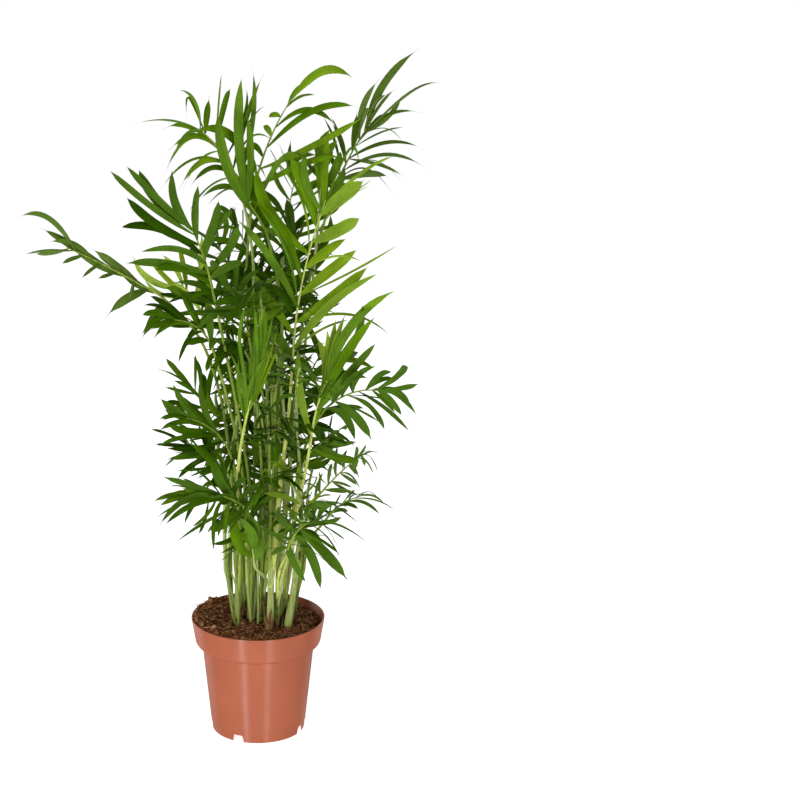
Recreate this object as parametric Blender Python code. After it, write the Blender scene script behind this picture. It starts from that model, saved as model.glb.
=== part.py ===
"""Parlour palm in its nursery pot: one object for each solid, in metres, +Z up.

The pot stands on the flat underside at z = 0 with its axis on Z, and -Y is the front.
Stems rise from the soil. Each frond is a petiole and rachis with leaflets along both sides,
fused into one blade that is cut to the rib between its leaflets.
"""
import cmath
import math
import random
from collections import namedtuple

import bmesh
import bpy
import numpy as np
from mathutils import Vector
from mathutils.bvhtree import BVHTree

MM = 0.001
UP = np.array((0.0, 0.0, 1.0))
FRONT = np.array((0.0, -1.0, 0.0))
CLEAR = 0.3 * MM

# Pot: a 12 cm nursery pot with a collar, a foot ring with drainage notches and a flat pad in the middle
POT_HEIGHT, RIM_RADIUS, BASE_RADIUS = 106.6 * MM, 60.0 * MM, 41.9 * MM
COLLAR_BOTTOM, COLLAR_LOW_RADIUS, BODY_TOP_RADIUS = 82.8 * MM, 56.2 * MM, 50.6 * MM
WALL, FLOOR_THICK, FOOT_HEIGHT, COLLAR_SLANT = 1.4 * MM, 1.6 * MM, 7.0 * MM, 2.6 * MM
PAD_RADIUS, PAD_SLOPE = 24.0 * MM, 4.0 * MM
NOTCHES, NOTCH_WIDTH, FIRST_NOTCH = 4, 10.0 * MM, 244.0
POT_SIDES = 32

# Soil: a mound that is high at the left rim and falls to the right and the back
SOIL_LEVEL, SOIL_TILT, SOIL_BACK, SOIL_DOME = 101.5 * MM, 2.6 * MM, 1.2 * MM, 2.0 * MM
SOIL_RINGS = 2

STEM_SIDES, STEM_JOINTS, SHEATH_SWELL = 7, 3, 1.18

# Fronds: tube sizes, and the leaflets' sections as shares of their length
PETIOLE_RADIUS, NECK_RADIUS, RACHIS_TIP_RADIUS = 1.4 * MM, 1.25 * MM, 0.9 * MM
PETIOLE_STEPS, RACHIS_STEPS, TUBE_SIDES = 5, 4, 3
CROWN_RING = 2.5 * MM
ROOT_WIDTH, ROOT_THICK, BELLY, BEND = 1.2 * MM, 0.5 * MM, 0.38, 0.72
LEAF_THICK_SHARE, LEAF_THICK_LEAST = 0.0115, 0.55 * MM
STRAIGHT_DROOP = 0.22
FREE_SHARE = 0.07
PROBE = 0.35 * MM

DROOP_POWER = 2.4
RIGHT_STAGGER, LAST_PLACES, LAST_SIZE = 0.45, (0.93, 0.975), (0.85, 1.15)
JITTER_ANGLE, JITTER_LIFT, JITTER_TWIST = 8.0, 8.0, 25.0
JITTER_LENGTH, JITTER_WIDTH, JITTER_DROOP = 0.13, 0.15, 0.5

# Base colour and roughness of each finish
FINISHES = {
    "pot": ((0.45, 0.118, 0.054), 0.36),
    "soil": ((0.09, 0.04, 0.018), 0.95),
    "stem": ((0.29, 0.38, 0.08), 0.45),
    "leaf_dark": ((0.045, 0.115, 0.002), 0.4),
    "leaf_mid": ((0.12, 0.24, 0.004), 0.4),
    "leaf_bright": ((0.215, 0.35, 0.012), 0.4),
    "leaf_yellow": ((0.36, 0.48, 0.035), 0.4),
}

Stem = namedtuple("Stem", "foot top foot_radius top_radius")
Frond = namedtuple("Frond", "stem neck tip arch turn lift pairs length width spread droop tone seed")
Leaflet = namedtuple("Leaflet", "place root aim across length width droop")

# Stem: foot on the soil (x, y), top (x, y, z), and the radii there, in mm
STEMS = {
    "stem_01": Stem((-17, -3), (-19, -6, 157), 2.9, 2.3),
    "stem_02": Stem((-8, -4), (-6, -6, 150), 2.2, 1.8),
    "stem_03": Stem((-3, 13), (-2, 4, 149), 2, 1.7),
    "stem_04": Stem((2, -7), (5, -12, 145), 2.2, 1.8),
    "stem_05": Stem((9, -28), (12, -30, 171), 3.2, 2.4),
    "stem_06": Stem((15, -19), (19, -24, 152), 2.4, 2),
    "stem_07": Stem((25, -22), (35, -24, 163), 3.2, 2.5),
    "stem_08": Stem((23, 7), (27, 2, 148), 2.4, 2),
    "stem_09": Stem((32, 17), (39, 12, 146), 2.2, 1.8),
    "stem_10": Stem((-22, 21), (-27, 12, 146), 2.2, 1.8),
    "stem_11": Stem((-13, 20), (-14, 16, 152), 2.4, 2),
    "stem_12": Stem((4, 30), (5, 24, 145), 2.2, 1.8),
    "stem_13": Stem((17, 30), (20, 26, 142), 2.2, 1.8),
}

# Frond: its stem, the rachis's neck and tip in mm, arch as a share of their distance, turn of the blade
# from facing the front, lift of the leaflets, pairs, leaflet length and width in mm, their angles off the
# rachis (first pair, far pair, last pair), droop, finish and seed; angles are in degrees
FRONDS = {
    "frond_01": Frond("stem_01", (-79, -25, 407), (-159, -50, 458), 0.02, 45, 10, 6, 58, 7.5,
        (56, 20, 8), 0.38, "dark", 1),
    "frond_02": Frond("stem_02", (-38, -60, 427), (-55, -78, 483), 0.04, 8, 10, 6, 66, 8.5,
        (84, 40, 22), 0.08, "dark", 2),
    "frond_03": Frond("stem_10", (-13, -10, 497), (-48, -20, 554), 0.06, 22, 10, 5, 68, 6.5,
        (66, 26, 20), 0.42, "mid", 3),
    "frond_04": Frond("stem_12", (-4, 10, 486), (30, 10, 575), 0.05, -30, 10, 5, 88, 7,
        (44, 26, 30), 0.42, "mid", 4),
    "frond_05": Frond("stem_13", (67, 20, 493), (95, 28, 546), 0.03, -15, 10, 5, 66, 4.8,
        (50, 20, 6), 0.3, "dark", 5),
    "frond_06": Frond("stem_05", (30, -40, 355), (58, -36, 496), 0.04, -4, 10, 6, 84, 11,
        (50, 26, 14), 0.04, "bright", 6),
    "frond_07": Frond("stem_01", (-10, -72, 313), (-3, -78, 345), 0, 0, 10, 4, 80, 6,
        (12, 8, 4), 0.02, "mid", 7),
    "frond_08": Frond("stem_08", (46, -62, 296), (62, -60, 352), 0.04, 5, 10, 4, 70, 8,
        (36, 24, 14), 0.06, "bright", 8),
    "frond_09": Frond("stem_09", (55, -44, 310), (104, -60, 336), 0.12, 35, 10, 5, 48, 7.5,
        (62, 24, 14), 0.4, "dark", 9),
    "frond_10": Frond("stem_09", (49, -20, 221), (92, -25, 267), 0.04, 25, 10, 6, 34, 3.6,
        (62, 28, 17), 0.35, "dark", 10),
    "frond_11": Frond("stem_08", (62, -5, 203), (89, -5, 221), 0.1, 40, 10, 4, 28, 4,
        (60, 24, 14), 0.35, "dark", 11),
    "frond_12": Frond("stem_07", (26, -70, 197), (51, -110, 236), 0.1, 15, 10, 5, 56, 7.5,
        (80, 45, 27), 0.35, "dark", 12),
    "frond_13": Frond("stem_01", (-10, -58, 228), (-49, -85, 248), 0.12, 40, 10, 6, 48, 6,
        (72, 30, 18), 0.45, "dark", 13),
    "frond_14": Frond("stem_10", (-23, -30, 228), (-61, -45, 285), 0.14, 60, 10, 5, 40, 5.5,
        (62, 30, 18), 0.35, "dark", 14),
    "frond_15": Frond("stem_10", (-28, -25, 272), (-61, -45, 307), 0.1, 35, 10, 6, 50, 5.2,
        (66, 24, 14), 0.4, "dark", 15),
    "frond_16": Frond("stem_02", (-37, -50, 367), (-69, -75, 402), 0.14, 45, 10, 5, 56, 9,
        (70, 30, 18), 0.55, "dark", 16),
    "frond_17": Frond("stem_04", (-3, -55, 175), (-5, -58, 193), 0, 0, 10, 1, 40, 10,
        (16, 10, 6), 0.05, "mid", 17),
    "frond_18": Frond("stem_06", (39, -45, 217), (28, -50, 250), 0.05, 10, 10, 2, 34, 5,
        (50, 25, 15), 0.1, "bright", 18),
    "frond_19": Frond("stem_11", (-44, 40, 363), (-66, 45, 402), 0.05, 10, 10, 3, 56, 6.5,
        (36, 18, 11), 0.05, "yellow", 19),
    "frond_20": Frond("stem_03", (9, -15, 460), (-8, -20, 491), 0.04, 0, 10, 2, 88, 12,
        (30, 14, 6), 0.05, "mid", 20),
    "frond_21": Frond("stem_13", (53, 5, 459), (56, 5, 515), 0, 0, 10, 4, 62, 9,
        (44, 14, 10), 0.04, "mid", 21),
    "frond_22": Frond("stem_03", (9, 10, 325), (1, 15, 396), 0.04, -15, 10, 4, 64, 8,
        (50, 26, 16), 0.15, "dark", 22),
    "frond_23": Frond("stem_06", (22, 20, 368), (29, 25, 437), 0.03, 20, 10, 4, 66, 7.5,
        (48, 24, 14), 0.1, "dark", 23),
    "frond_24": Frond("stem_04", (-6, -30, 368), (-21, -45, 418), 0.06, 10, 10, 4, 56, 7,
        (60, 30, 18), 0.3, "dark", 24),
    "frond_25": Frond("stem_11", (-27, 5, 372), (-37, 0, 400), 0.05, 20, 10, 4, 60, 7,
        (70, 40, 24), 0.2, "dark", 25),
    "frond_26": Frond("stem_12", (4, 20, 238), (-5, 30, 297), 0.05, 10, 10, 4, 54, 6.5,
        (56, 28, 17), 0.25, "dark", 26),
    "frond_27": Frond("stem_13", (31, 30, 254), (43, 40, 303), 0.05, -10, 10, 4, 54, 7.5,
        (60, 30, 18), 0.25, "dark", 27),
    "frond_28": Frond("stem_08", (37, -30, 255), (59, -45, 287), 0.1, 30, 10, 4, 38, 7,
        (66, 32, 19), 0.4, "dark", 28),
    "frond_29": Frond("stem_03", (-10, -35, 192), (-24, -55, 231), 0.08, 30, 10, 4, 46, 6.5,
        (66, 30, 18), 0.35, "dark", 29),
    "frond_30": Frond("stem_12", (11, -10, 201), (4, -15, 250), 0.03, 0, 10, 4, 44, 6,
        (50, 25, 15), 0.15, "dark", 30),
    "frond_31": Frond("stem_06", (30, -50, 192), (41, -60, 223), 0.05, 25, 10, 4, 42, 6,
        (64, 34, 20), 0.3, "dark", 31),
    "frond_32": Frond("stem_10", (-30, 20, 238), (-55, 30, 252), 0.1, 40, 10, 4, 40, 5,
        (66, 30, 18), 0.35, "dark", 32),
    "frond_33": Frond("stem_02", (-39, 30, 273), (-58, 40, 309), 0.08, 30, 10, 4, 46, 5.5,
        (56, 28, 17), 0.25, "dark", 33),
    "frond_34": Frond("stem_11", (-17, 55, 386), (-35, 105, 424), 0.08, 10, 10, 4, 60, 7,
        (60, 28, 17), 0.3, "dark", 41),
    "frond_35": Frond("stem_03", (13, 60, 353), (17, 112, 402), 0.08, -5, 10, 4, 62, 7.5,
        (58, 28, 17), 0.3, "mid", 42),
    "frond_36": Frond("stem_09", (40, 60, 292), (60, 112, 322), 0.08, -15, 10, 4, 56, 7,
        (62, 30, 18), 0.35, "dark", 43),
    "frond_37": Frond("stem_09", (49, 50, 226), (67, 105, 239), 0.1, -15, 10, 4, 48, 6.5,
        (64, 32, 19), 0.4, "dark", 44),
    "frond_38": Frond("stem_12", (4, 65, 241), (-7, 118, 270), 0.08, 10, 10, 4, 54, 6.5,
        (60, 30, 18), 0.35, "dark", 45),
    "frond_39": Frond("stem_11", (-20, 60, 214), (-40, 100, 230), 0.1, 20, 10, 4, 46, 6,
        (64, 32, 19), 0.4, "dark", 46),
    "frond_40": Frond("stem_13", (29, 55, 176), (42, 105, 186), 0.1, -10, 10, 4, 44, 6,
        (66, 34, 20), 0.4, "dark", 47),
    "frond_41": Frond("stem_04", (-11, 50, 169), (-22, 98, 175), 0.1, 20, 10, 4, 44, 6,
        (66, 34, 20), 0.4, "dark", 48),
    "frond_42": Frond("stem_05", (4, -72, 405), (-2, -118, 445), 0.12, 10, 10, 4, 50, 6.5,
        (62, 28, 17), 0.45, "dark", 51),
    "frond_43": Frond("stem_07", (30, -60, 330), (36, -112, 372), 0.1, -10, 10, 4, 48, 6.5,
        (64, 30, 18), 0.4, "dark", 53),
    "frond_44": Frond("stem_06", (24, 52, 432), (34, 108, 484), 0.06, -10, 10, 4, 60, 7.5,
        (54, 26, 16), 0.2, "dark", 52),
}

# Leaflets with their own angle off the rachis, length in mm, droop and width in mm, by their number in turn
OWN_LEAFLETS = {
    "frond_01": {
        0: (58, 55, 0.6, 9), 2: (21, 57, 0.8, 9), 4: (82, 26, 0.3, 4), 6: (39, 26, 0.15, 4),
        8: (49, 31, 0.3, 4), 10: (36, 26, 0.2, 4), 12: (1, 51, 0.5, 3.5), 1: (12, 46, 0.15, 7),
        3: (14, 55, 0.15, 8), 5: (15, 65, 0.15, 8), 7: (21, 72, 0.35, 7.5), 9: (5, 43, 0.2, 5),
        11: (31, 63, 0.5, 5), 13: (-16, 34, 0.25, 4),
    },
    "frond_02": {
        0: (49, 58, 0.12, 8), 2: (51, 77, 0.2, 8), 4: (46, 66, 0.15, 7.5), 6: (31, 85, 0.25, 8),
        8: (25, 83, 0.1, 8.5), 10: (18, 103, 0.12, 6), 12: (14, 90, 0.05, 6), 1: (58, 33, 0.3, 8),
        3: (39, 48, 0.2, 8), 5: (40, 51, 0.1, 8.5), 7: (32, 53, 0.1, 8), 9: (21, 56, 0.05, 7.5),
        11: (8, 64, 0.05, 8.5), 13: (-11, 73, 0.05, 9),
    },
    "frond_03": {
        0: (41, 47, 0.6, 6), 2: (35, 54, 0.7, 6), 4: (26, 65, 1.0, 5.5), 6: (26, 55, 0.5, 5.5),
        8: (11, 48, 0.45, 5), 10: (36, 40, 0.9, 4.5), 1: (27, 101, 0.1, 5), 3: (41, 91, 0.2, 5),
        5: (44, 66, 0.2, 4), 7: (48, 51, 0.4, 5.5), 9: (51, 34, 0.0, 6), 11: (157, 56, 0.35, 9),
    },
    "frond_04": {
        0: (42, 37, 0.3, 6), 2: (45, 37, 0.3, 5.5), 4: (51, 19, 0.5, 6), 6: (50, 13, 0.4, 5.5),
        8: (107, 12, 0.3, 5), 1: (38, 107, 0.4, 7), 3: (32, 115, 0.3, 6.5), 5: (28, 98, 0.35, 6.5),
        7: (36, 66, 0.5, 6), 9: (30, 32, 0.2, 4), 10: (-8, 29, 0.3, 6), 11: (9, 66, 0.55, 9),
    },
    "frond_05": {
        0: (54, 40, 0.3, 5), 2: (47, 37, 0.25, 5), 4: (43, 40, 0.2, 5), 6: (23, 38, 0.05, 6),
        8: (12, 59, 0.05, 6), 10: (-9, 48, 0.05, 4.5), 1: (42, 49, 0.4, 7), 3: (43, 82, 0.4, 4),
        5: (34, 70, 0.4, 4), 7: (18, 70, 0.35, 3.6), 9: (2, 94, 0.5, 3.6), 11: (1, 86, -0.02, 7.5),
    },
    "frond_06": {
        0: (34, 46, 0.1, 9), 2: (34, 70, 0.1, 8), 4: (38, 96, 0.12, 8), 6: (39, 83, 0.08, 9),
        8: (43, 88, 0.06, 11.5), 10: (38, 68, 0.04, 11), 12: (33, 57, 0.0, 8), 1: (39, 112, 0.12, 9),
        3: (37, 86, 0.15, 10), 5: (36, 69, 0.1, 10), 7: (38, 46, 0.06, 10), 9: (44, 46, 0.06, 12),
        11: (31, 50, 0.04, 13), 13: (-17, 59, -0.02, 8),
    },
    "frond_08": {
        0: (16, 82, 0.05, 8), 2: (5, 82, 0.04, 8), 4: (19, 61, 0.05, 7), 6: (12, 62, 0.03, 7),
        8: (10, 58, 0.03, 8), 1: (17, 112, 0.1, 9), 3: (21, 86, 0.15, 9), 5: (13, 114, 0.12, 8),
        7: (7, 76, 0.05, 9), 9: (-1, 67, 0.02, 8),
    },
    "frond_09": {
        0: (29, 58, 0.2, 6), 2: (29, 53, 0.15, 6), 4: (37, 52, 0.15, 6), 6: (44, 59, 0.2, 6),
        8: (53, 59, 0.3, 6), 10: (62, 76, 0.25, 8), 1: (91, 55, 0.6, 8), 3: (74, 54, 0.55, 9.5),
        5: (67, 58, 0.5, 8), 7: (38, 68, 0.6, 6), 9: (12, 51, 0.5, 5.5), 11: (8, 34, 0.35, 5),
    },
    "frond_12": {
        0: (86, 20, 0.4, 7), 2: (41, 59, 0.1, 5), 4: (31, 101, 0.2, 6), 6: (42, 40, 0.2, 6),
        8: (40, 46, 0.2, 6), 10: (74, 12, 0.2, 5), 1: (134, 44, 0.5, 8), 3: (130, 73, 0.5, 9),
        5: (96, 70, 0.5, 10), 7: (12, 79, 0.35, 9), 9: (-14, 106, 0.3, 7), 11: (-23, 94, 0.3, 7),
    },
    "frond_13": {
        0: (44, 54, 0.3, 9), 2: (33, 91, 0.35, 4), 4: (26, 93, 0.2, 5.5), 6: (0, 79, 0.6, 7),
        8: (-6, 73, 0.5, 4), 10: (-9, 57, 0.15, 5), 12: (-15, 33, 0.1, 5), 1: (18, 62, 0.1, 9),
        3: (20, 82, 0.15, 8), 5: (3, 76, 0.1, 6), 7: (8, 44, 0.1, 5.5), 9: (14, 41, 0.15, 5.5),
        11: (14, 48, 0.3, 4.5), 13: (23, 40, 0.15, 4.5),
    },
    "frond_15": {
        0: (57, 31, 0.3, 6), 2: (40, 66, 0.2, 5.5), 4: (20, 70, 0.5, 4.5), 6: (24, 55, 0.02, 7),
        8: (12, 49, 0.35, 5), 10: (-9, 36, 0.5, 4), 12: (-16, 26, 0.2, 5), 1: (10, 74, 0.05, 6),
        3: (3, 78, 0.15, 6.5), 5: (8, 58, 0.2, 8), 7: (2, 60, 0.1, 8.5), 9: (19, 45, 0.4, 5),
        11: (24, 30, 0.5, 4), 13: (11, 30, 0.45, 4),
    },
    "frond_16": {
        0: (105, 22, 0.4, 6), 2: (29, 30, 0.5, 7), 4: (39, 48, 0.9, 4.5), 6: (-5, 55, 0.8, 7),
        8: (-8, 48, 0.6, 6), 10: (-1, 30, 0.4, 6), 1: (18, 42, 0.2, 7), 3: (12, 52, 0.25, 7),
        5: (16, 58, 0.3, 7), 7: (24, 52, 0.35, 7), 9: (31, 38, 0.35, 6), 11: (21, 36, 0.35, 6),
    },
    "frond_20": {
        0: (8, 82, -0.35, 15), 2: (-11, 106, 0.05, 10), 4: (-34, 110, -0.05, 9), 1: (138, 28, 0.1, 10),
        3: (52, 88, 0.6, 5), 5: (36, 85, 0.05, 7),
    },
    "frond_21": {
        0: (19, 58, 0.05, 7), 2: (8, 66, 0.02, 8), 4: (8, 42, 0.05, 7), 6: (-6, 49, 0.0, 8),
        8: (-1, 34, 0.0, 7), 1: (30, 44, 0.2, 7), 3: (24, 45, 0.1, 8), 5: (21, 42, 0.05, 8),
        7: (20, 36, 0.02, 7), 9: (17, 22, 0.0, 7),
    },
    "frond_07": {
        0: (28, 72, 0.0, 6), 2: (22, 82, 0.0, 6), 4: (15, 95, 0.0, 6.5), 6: (12, 98, 0.0, 6.5),
        8: (15, 87, 0.0, 6), 1: (11, 88, 0.02, 6), 3: (6, 85, 0.0, 6.5), 5: (1, 89, 0.0, 7),
        7: (-4, 87, 0.0, 6.5), 9: (-8, 88, 0.0, 6.5),
    },
    "frond_10": {
        0: (31, 28, 0.2, 3.5), 2: (33, 27, 0.2, 3.5), 4: (42, 36, 0.2, 3.5), 6: (40, 27, 0.2, 3.5),
        8: (44, 26, 0.2, 3.5), 10: (48, 22, 0.2, 3.5), 12: (24, 12, 0.3, 3.5), 1: (34, 16, 0.3, 3.5),
        3: (44, 24, 0.35, 3.5), 5: (54, 24, 0.4, 3.5), 7: (72, 26, 0.4, 3.5), 9: (82, 14, 0.5, 4),
        11: (153, 14, 0.5, 6), 13: (106, 12, 0.5, 3.5),
    },
    "frond_11": {
        0: (40, 26, 0.2, 4), 2: (51, 40, 0.2, 4), 4: (42, 27, 0.2, 4), 6: (49, 31, 0.3, 4),
        8: (61, 49, 0.4, 3), 1: (41, 19, 0.3, 4), 3: (41, 23, 0.3, 4), 5: (33, 42, 0.5, 3.5),
        7: (18, 46, 0.45, 3), 9: (10, 28, 0.4, 3),
    },
}


def unit(vector):
    return vector / np.linalg.norm(vector)


def turned(vector, axis, degrees):
    """The vector turned about a unit axis."""
    angle = math.radians(degrees)
    along = axis * axis.dot(vector)
    return along + (vector - along) * math.cos(angle) + np.cross(axis, vector) * math.sin(angle)


def finish(name):
    """The named finish as a material, made once."""
    found = bpy.data.materials.get(name)
    if found:
        return found
    colour, roughness = FINISHES[name]
    made = bpy.data.materials.new(name)
    made.use_nodes = True
    shader = made.node_tree.nodes["Principled BSDF"]
    shader.inputs["Base Color"].default_value = (*colour, 1.0)
    shader.inputs["Roughness"].default_value = roughness
    shader.inputs["Metallic"].default_value = 0.0
    return made


def add_object(name, points, faces, finish_name):
    """A mesh object with its faces turned outwards."""
    mesh = bpy.data.meshes.new(name)
    mesh.from_pydata([tuple(point) for point in points], [], faces)
    work = bmesh.new()
    work.from_mesh(mesh)
    bmesh.ops.recalc_face_normals(work, faces=work.faces)
    work.to_mesh(mesh)
    work.free()
    mesh.materials.append(finish(finish_name))
    made = bpy.data.objects.new(name, mesh)
    bpy.context.scene.collection.objects.link(made)
    return made


def smooth(made, degrees=35):
    made.data.shade_smooth()
    made.data.set_sharp_from_angle(angle=math.radians(degrees))


def turned_body(name, profile, sides, finish_name):
    """A closed body of revolution about Z from (radius, height) points that start and end on the axis."""
    points, faces = [], []
    rings = []
    for radius, height in profile:
        if radius == 0:
            rings.append([len(points)])
            points.append((0, 0, height))
            continue
        rings.append(list(range(len(points), len(points) + sides)))
        for side in range(sides):
            angle = 2 * math.pi * side / sides
            points.append((radius * math.cos(angle), radius * math.sin(angle), height))
    for low, high in zip(rings, rings[1:]):
        for side in range(sides):
            after = (side + 1) % sides
            if len(low) == 1:
                faces.append((low[0], high[after], high[side]))
            elif len(high) == 1:
                faces.append((low[side], low[after], high[0]))
            else:
                faces.append((low[side], low[after], high[after], high[side]))
    return add_object(name, points, faces, finish_name)


def body_radius(height):
    """Outer radius of the pot's tapering body below the collar."""
    return BASE_RADIUS + (BODY_TOP_RADIUS - BASE_RADIUS) * height / COLLAR_BOTTOM


def inner_radius(height):
    """Inner radius of the pot, which steps out inside the collar."""
    if height <= COLLAR_BOTTOM:
        return body_radius(height) - WALL
    share = (height - COLLAR_BOTTOM) / (POT_HEIGHT - COLLAR_BOTTOM)
    return COLLAR_LOW_RADIUS + (RIM_RADIUS - COLLAR_LOW_RADIUS) * share - WALL


def build_pot():
    floor_top = FOOT_HEIGHT + FLOOR_THICK
    step = WALL * 0.8
    slant_low = COLLAR_BOTTOM - COLLAR_SLANT
    profile = [
        (0, 0), (PAD_RADIUS, 0), (PAD_RADIUS + PAD_SLOPE, FOOT_HEIGHT),
        (body_radius(FOOT_HEIGHT) - WALL, FOOT_HEIGHT), (BASE_RADIUS - WALL, 0), (BASE_RADIUS, 0),
        (body_radius(slant_low), slant_low), (COLLAR_LOW_RADIUS, COLLAR_BOTTOM + 0.6 * MM),
        (RIM_RADIUS, POT_HEIGHT), (RIM_RADIUS - WALL, POT_HEIGHT),
        (inner_radius(COLLAR_BOTTOM + step), COLLAR_BOTTOM + step),
        (inner_radius(COLLAR_BOTTOM), COLLAR_BOTTOM + step),
        (inner_radius(floor_top), floor_top), (PAD_RADIUS + PAD_SLOPE, floor_top), (PAD_RADIUS, FLOOR_THICK),
        (0, FLOOR_THICK),
    ]
    pot = turned_body("pot", profile, POT_SIDES, "pot")
    for number in range(NOTCHES):
        cut_notch(pot, math.radians(FIRST_NOTCH + 360 / NOTCHES * number))
    smooth(pot)


def cut_notch(pot, angle):
    """Cuts one drainage notch through the foot ring, slightly wider at the ground."""
    out = Vector((math.cos(angle), math.sin(angle), 0))
    side = Vector((-out.y, out.x, 0))
    points = []
    for reach in (BASE_RADIUS - 4 * WALL, BASE_RADIUS + 4 * WALL):
        for width, height in ((1.12, -1 * MM), (0.92, FOOT_HEIGHT - 0.4 * MM)):
            for hand in (-0.5, 0.5):
                points.append(out * reach + side * NOTCH_WIDTH * width * hand + Vector((0, 0, height)))
    faces = [(0, 1, 3, 2), (4, 6, 7, 5), (0, 4, 5, 1), (2, 3, 7, 6), (0, 2, 6, 4), (1, 5, 7, 3)]
    cutter = add_object("notch_cutter", points, faces, "pot")
    apply_boolean(pot, cutter, "DIFFERENCE")
    bpy.data.objects.remove(cutter)


def apply_boolean(target, operand, operation):
    """Applies one Boolean to the target's mesh; the operand is an object or a collection."""
    change = target.modifiers.new(operation.lower(), "BOOLEAN")
    change.operation = operation
    change.solver = "MANIFOLD" if operation == "UNION" else "EXACT"
    if isinstance(operand, bpy.types.Collection):
        change.operand_type = "COLLECTION"
        change.collection = operand
    else:
        change.object = operand
    graph = bpy.context.evaluated_depsgraph_get()
    result = bpy.data.meshes.new_from_object(target.evaluated_get(graph))
    target.modifiers.clear()
    work = bmesh.new()
    work.from_mesh(result)
    bmesh.ops.triangulate(work, faces=work.faces)
    keep_outer_shell(work)
    work.to_mesh(result)
    work.free()
    target.data = result


def keep_outer_shell(work):
    """Fills a hollow that fusing has sealed, and drops a loose scrap: the largest shell stays."""
    unseen, shells = set(work.faces), []
    while unseen:
        shell, edge_of_growth = set(), [unseen.pop()]
        while edge_of_growth:
            face = edge_of_growth.pop()
            shell.add(face)
            for edge in face.edges:
                for near in edge.link_faces:
                    if near in unseen:
                        unseen.remove(near)
                        edge_of_growth.append(near)
        shells.append(shell)
    largest = max(shells, key=len)
    extra = [face for shell in shells if shell is not largest for face in shell]
    bmesh.ops.delete(work, geom=extra, context="FACES")


def soil_height(x, y):
    """Height of the soil's surface, a low dome that leans to the right and the back."""
    dome = SOIL_DOME * (1 - (x * x + y * y) / RIM_RADIUS ** 2)
    return SOIL_LEVEL - SOIL_TILT * x / RIM_RADIUS - SOIL_BACK * y / RIM_RADIUS + dome


def build_soil():
    """The soil that fills the pot, clear of its wall and floor by the usual gap."""
    floor_top = FOOT_HEIGHT + FLOOR_THICK
    step = WALL * 0.8
    levels = [
        (PAD_RADIUS, FLOOR_THICK + CLEAR), (PAD_RADIUS + PAD_SLOPE, floor_top + CLEAR),
        (inner_radius(floor_top) - CLEAR, floor_top + CLEAR),
        (inner_radius(COLLAR_BOTTOM) - CLEAR, COLLAR_BOTTOM + step + CLEAR),
        (inner_radius(COLLAR_BOTTOM + step) - CLEAR, COLLAR_BOTTOM + step + CLEAR),
    ]
    top_radius = inner_radius(SOIL_LEVEL - SOIL_TILT) - CLEAR
    points, faces, rings = [(0, 0, FLOOR_THICK + CLEAR)], [], []

    def add_ring(radius, height=None):
        rings.append(list(range(len(points), len(points) + POT_SIDES)))
        for side in range(POT_SIDES):
            angle = 2 * math.pi * side / POT_SIDES
            x, y = radius * math.cos(angle), radius * math.sin(angle)
            points.append((x, y, soil_height(x, y) if height is None else height))

    for radius, height in levels:
        add_ring(radius, height)
    for ring in range(SOIL_RINGS, 0, -1):
        add_ring(top_radius * ring / SOIL_RINGS)
    centre = len(points)
    points.append((0, 0, soil_height(0, 0)))
    for side in range(POT_SIDES):
        after = (side + 1) % POT_SIDES
        faces.append((0, rings[0][after], rings[0][side]))
        for low, high in zip(rings, rings[1:]):
            faces.append((low[side], low[after], high[after], high[side]))
        faces.append((rings[-1][side], rings[-1][after], centre))
    smooth(add_object("soil", points, faces, "soil"))


def tube(path, radii, sides, level_steps):
    """Points and faces of a closed tube along a path, whose sections at the level steps lie flat."""
    points, faces = [], []
    side_way = None
    for step, centre in enumerate(path):
        before, after = path[max(step - 1, 0)], path[min(step + 1, len(path) - 1)]
        along = unit(after - before)
        if step in level_steps:
            along = UP
        if side_way is None:
            side_way = unit(np.cross(along, FRONT))
        side_way = unit(side_way - along * along.dot(side_way))
        other = np.cross(along, side_way)
        for number in range(sides):
            angle = 2 * math.pi * number / sides
            points.append(centre + radii[step] * (side_way * math.cos(angle) + other * math.sin(angle)))
    for step in range(len(path) - 1):
        low, high = step * sides, (step + 1) * sides
        for number in range(sides):
            after = (number + 1) % sides
            faces.append((low + number, low + after, high + after, high + number))
    last = (len(path) - 1) * sides
    faces.append(tuple(reversed(range(sides))))
    faces.append(tuple(range(last, last + sides)))
    return points, faces


def stem_ends(stem):
    """Foot on the soil and top of a stem, in metres."""
    x, y = stem.foot[0] * MM, stem.foot[1] * MM
    reach = stem.foot_radius * MM * SHEATH_SWELL
    round_foot = [(x + a * reach, y + b * reach) for a in (-1, 0, 1) for b in (-1, 0, 1)]
    ground = max(soil_height(*spot) for spot in round_foot)
    return np.array((x, y, ground + CLEAR)), np.array(stem.top) * MM


def build_stem(name, stem):
    """A stem with its sheathed foot, which swells just above the soil."""
    foot, top = stem_ends(stem)
    path, radii = [], []
    for joint in range(STEM_JOINTS + 1):
        share = joint / STEM_JOINTS
        swell = 1 + (SHEATH_SWELL - 1) * math.sin(math.pi * min(1, 2.2 * share))
        path.append(foot + (top - foot) * share)
        radii.append((stem.foot_radius + (stem.top_radius - stem.foot_radius) * share) * MM * swell)
    points, faces = tube(path, radii, STEM_SIDES, (0, STEM_JOINTS))
    smooth(add_object(name, points, faces, "stem"), 50)
    return points, faces


def rachis_bend(frond):
    """The three points of the rachis's bend: neck, bow and tip, in metres."""
    neck, tip = np.array(frond.neck) * MM, np.array(frond.tip) * MM
    chord = tip - neck
    along = unit(chord)
    rise = unit(UP - along * along.dot(UP))
    bow = (neck + tip) / 2 + rise * 2 * frond.arch * np.linalg.norm(chord)
    return neck, bow, tip


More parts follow.
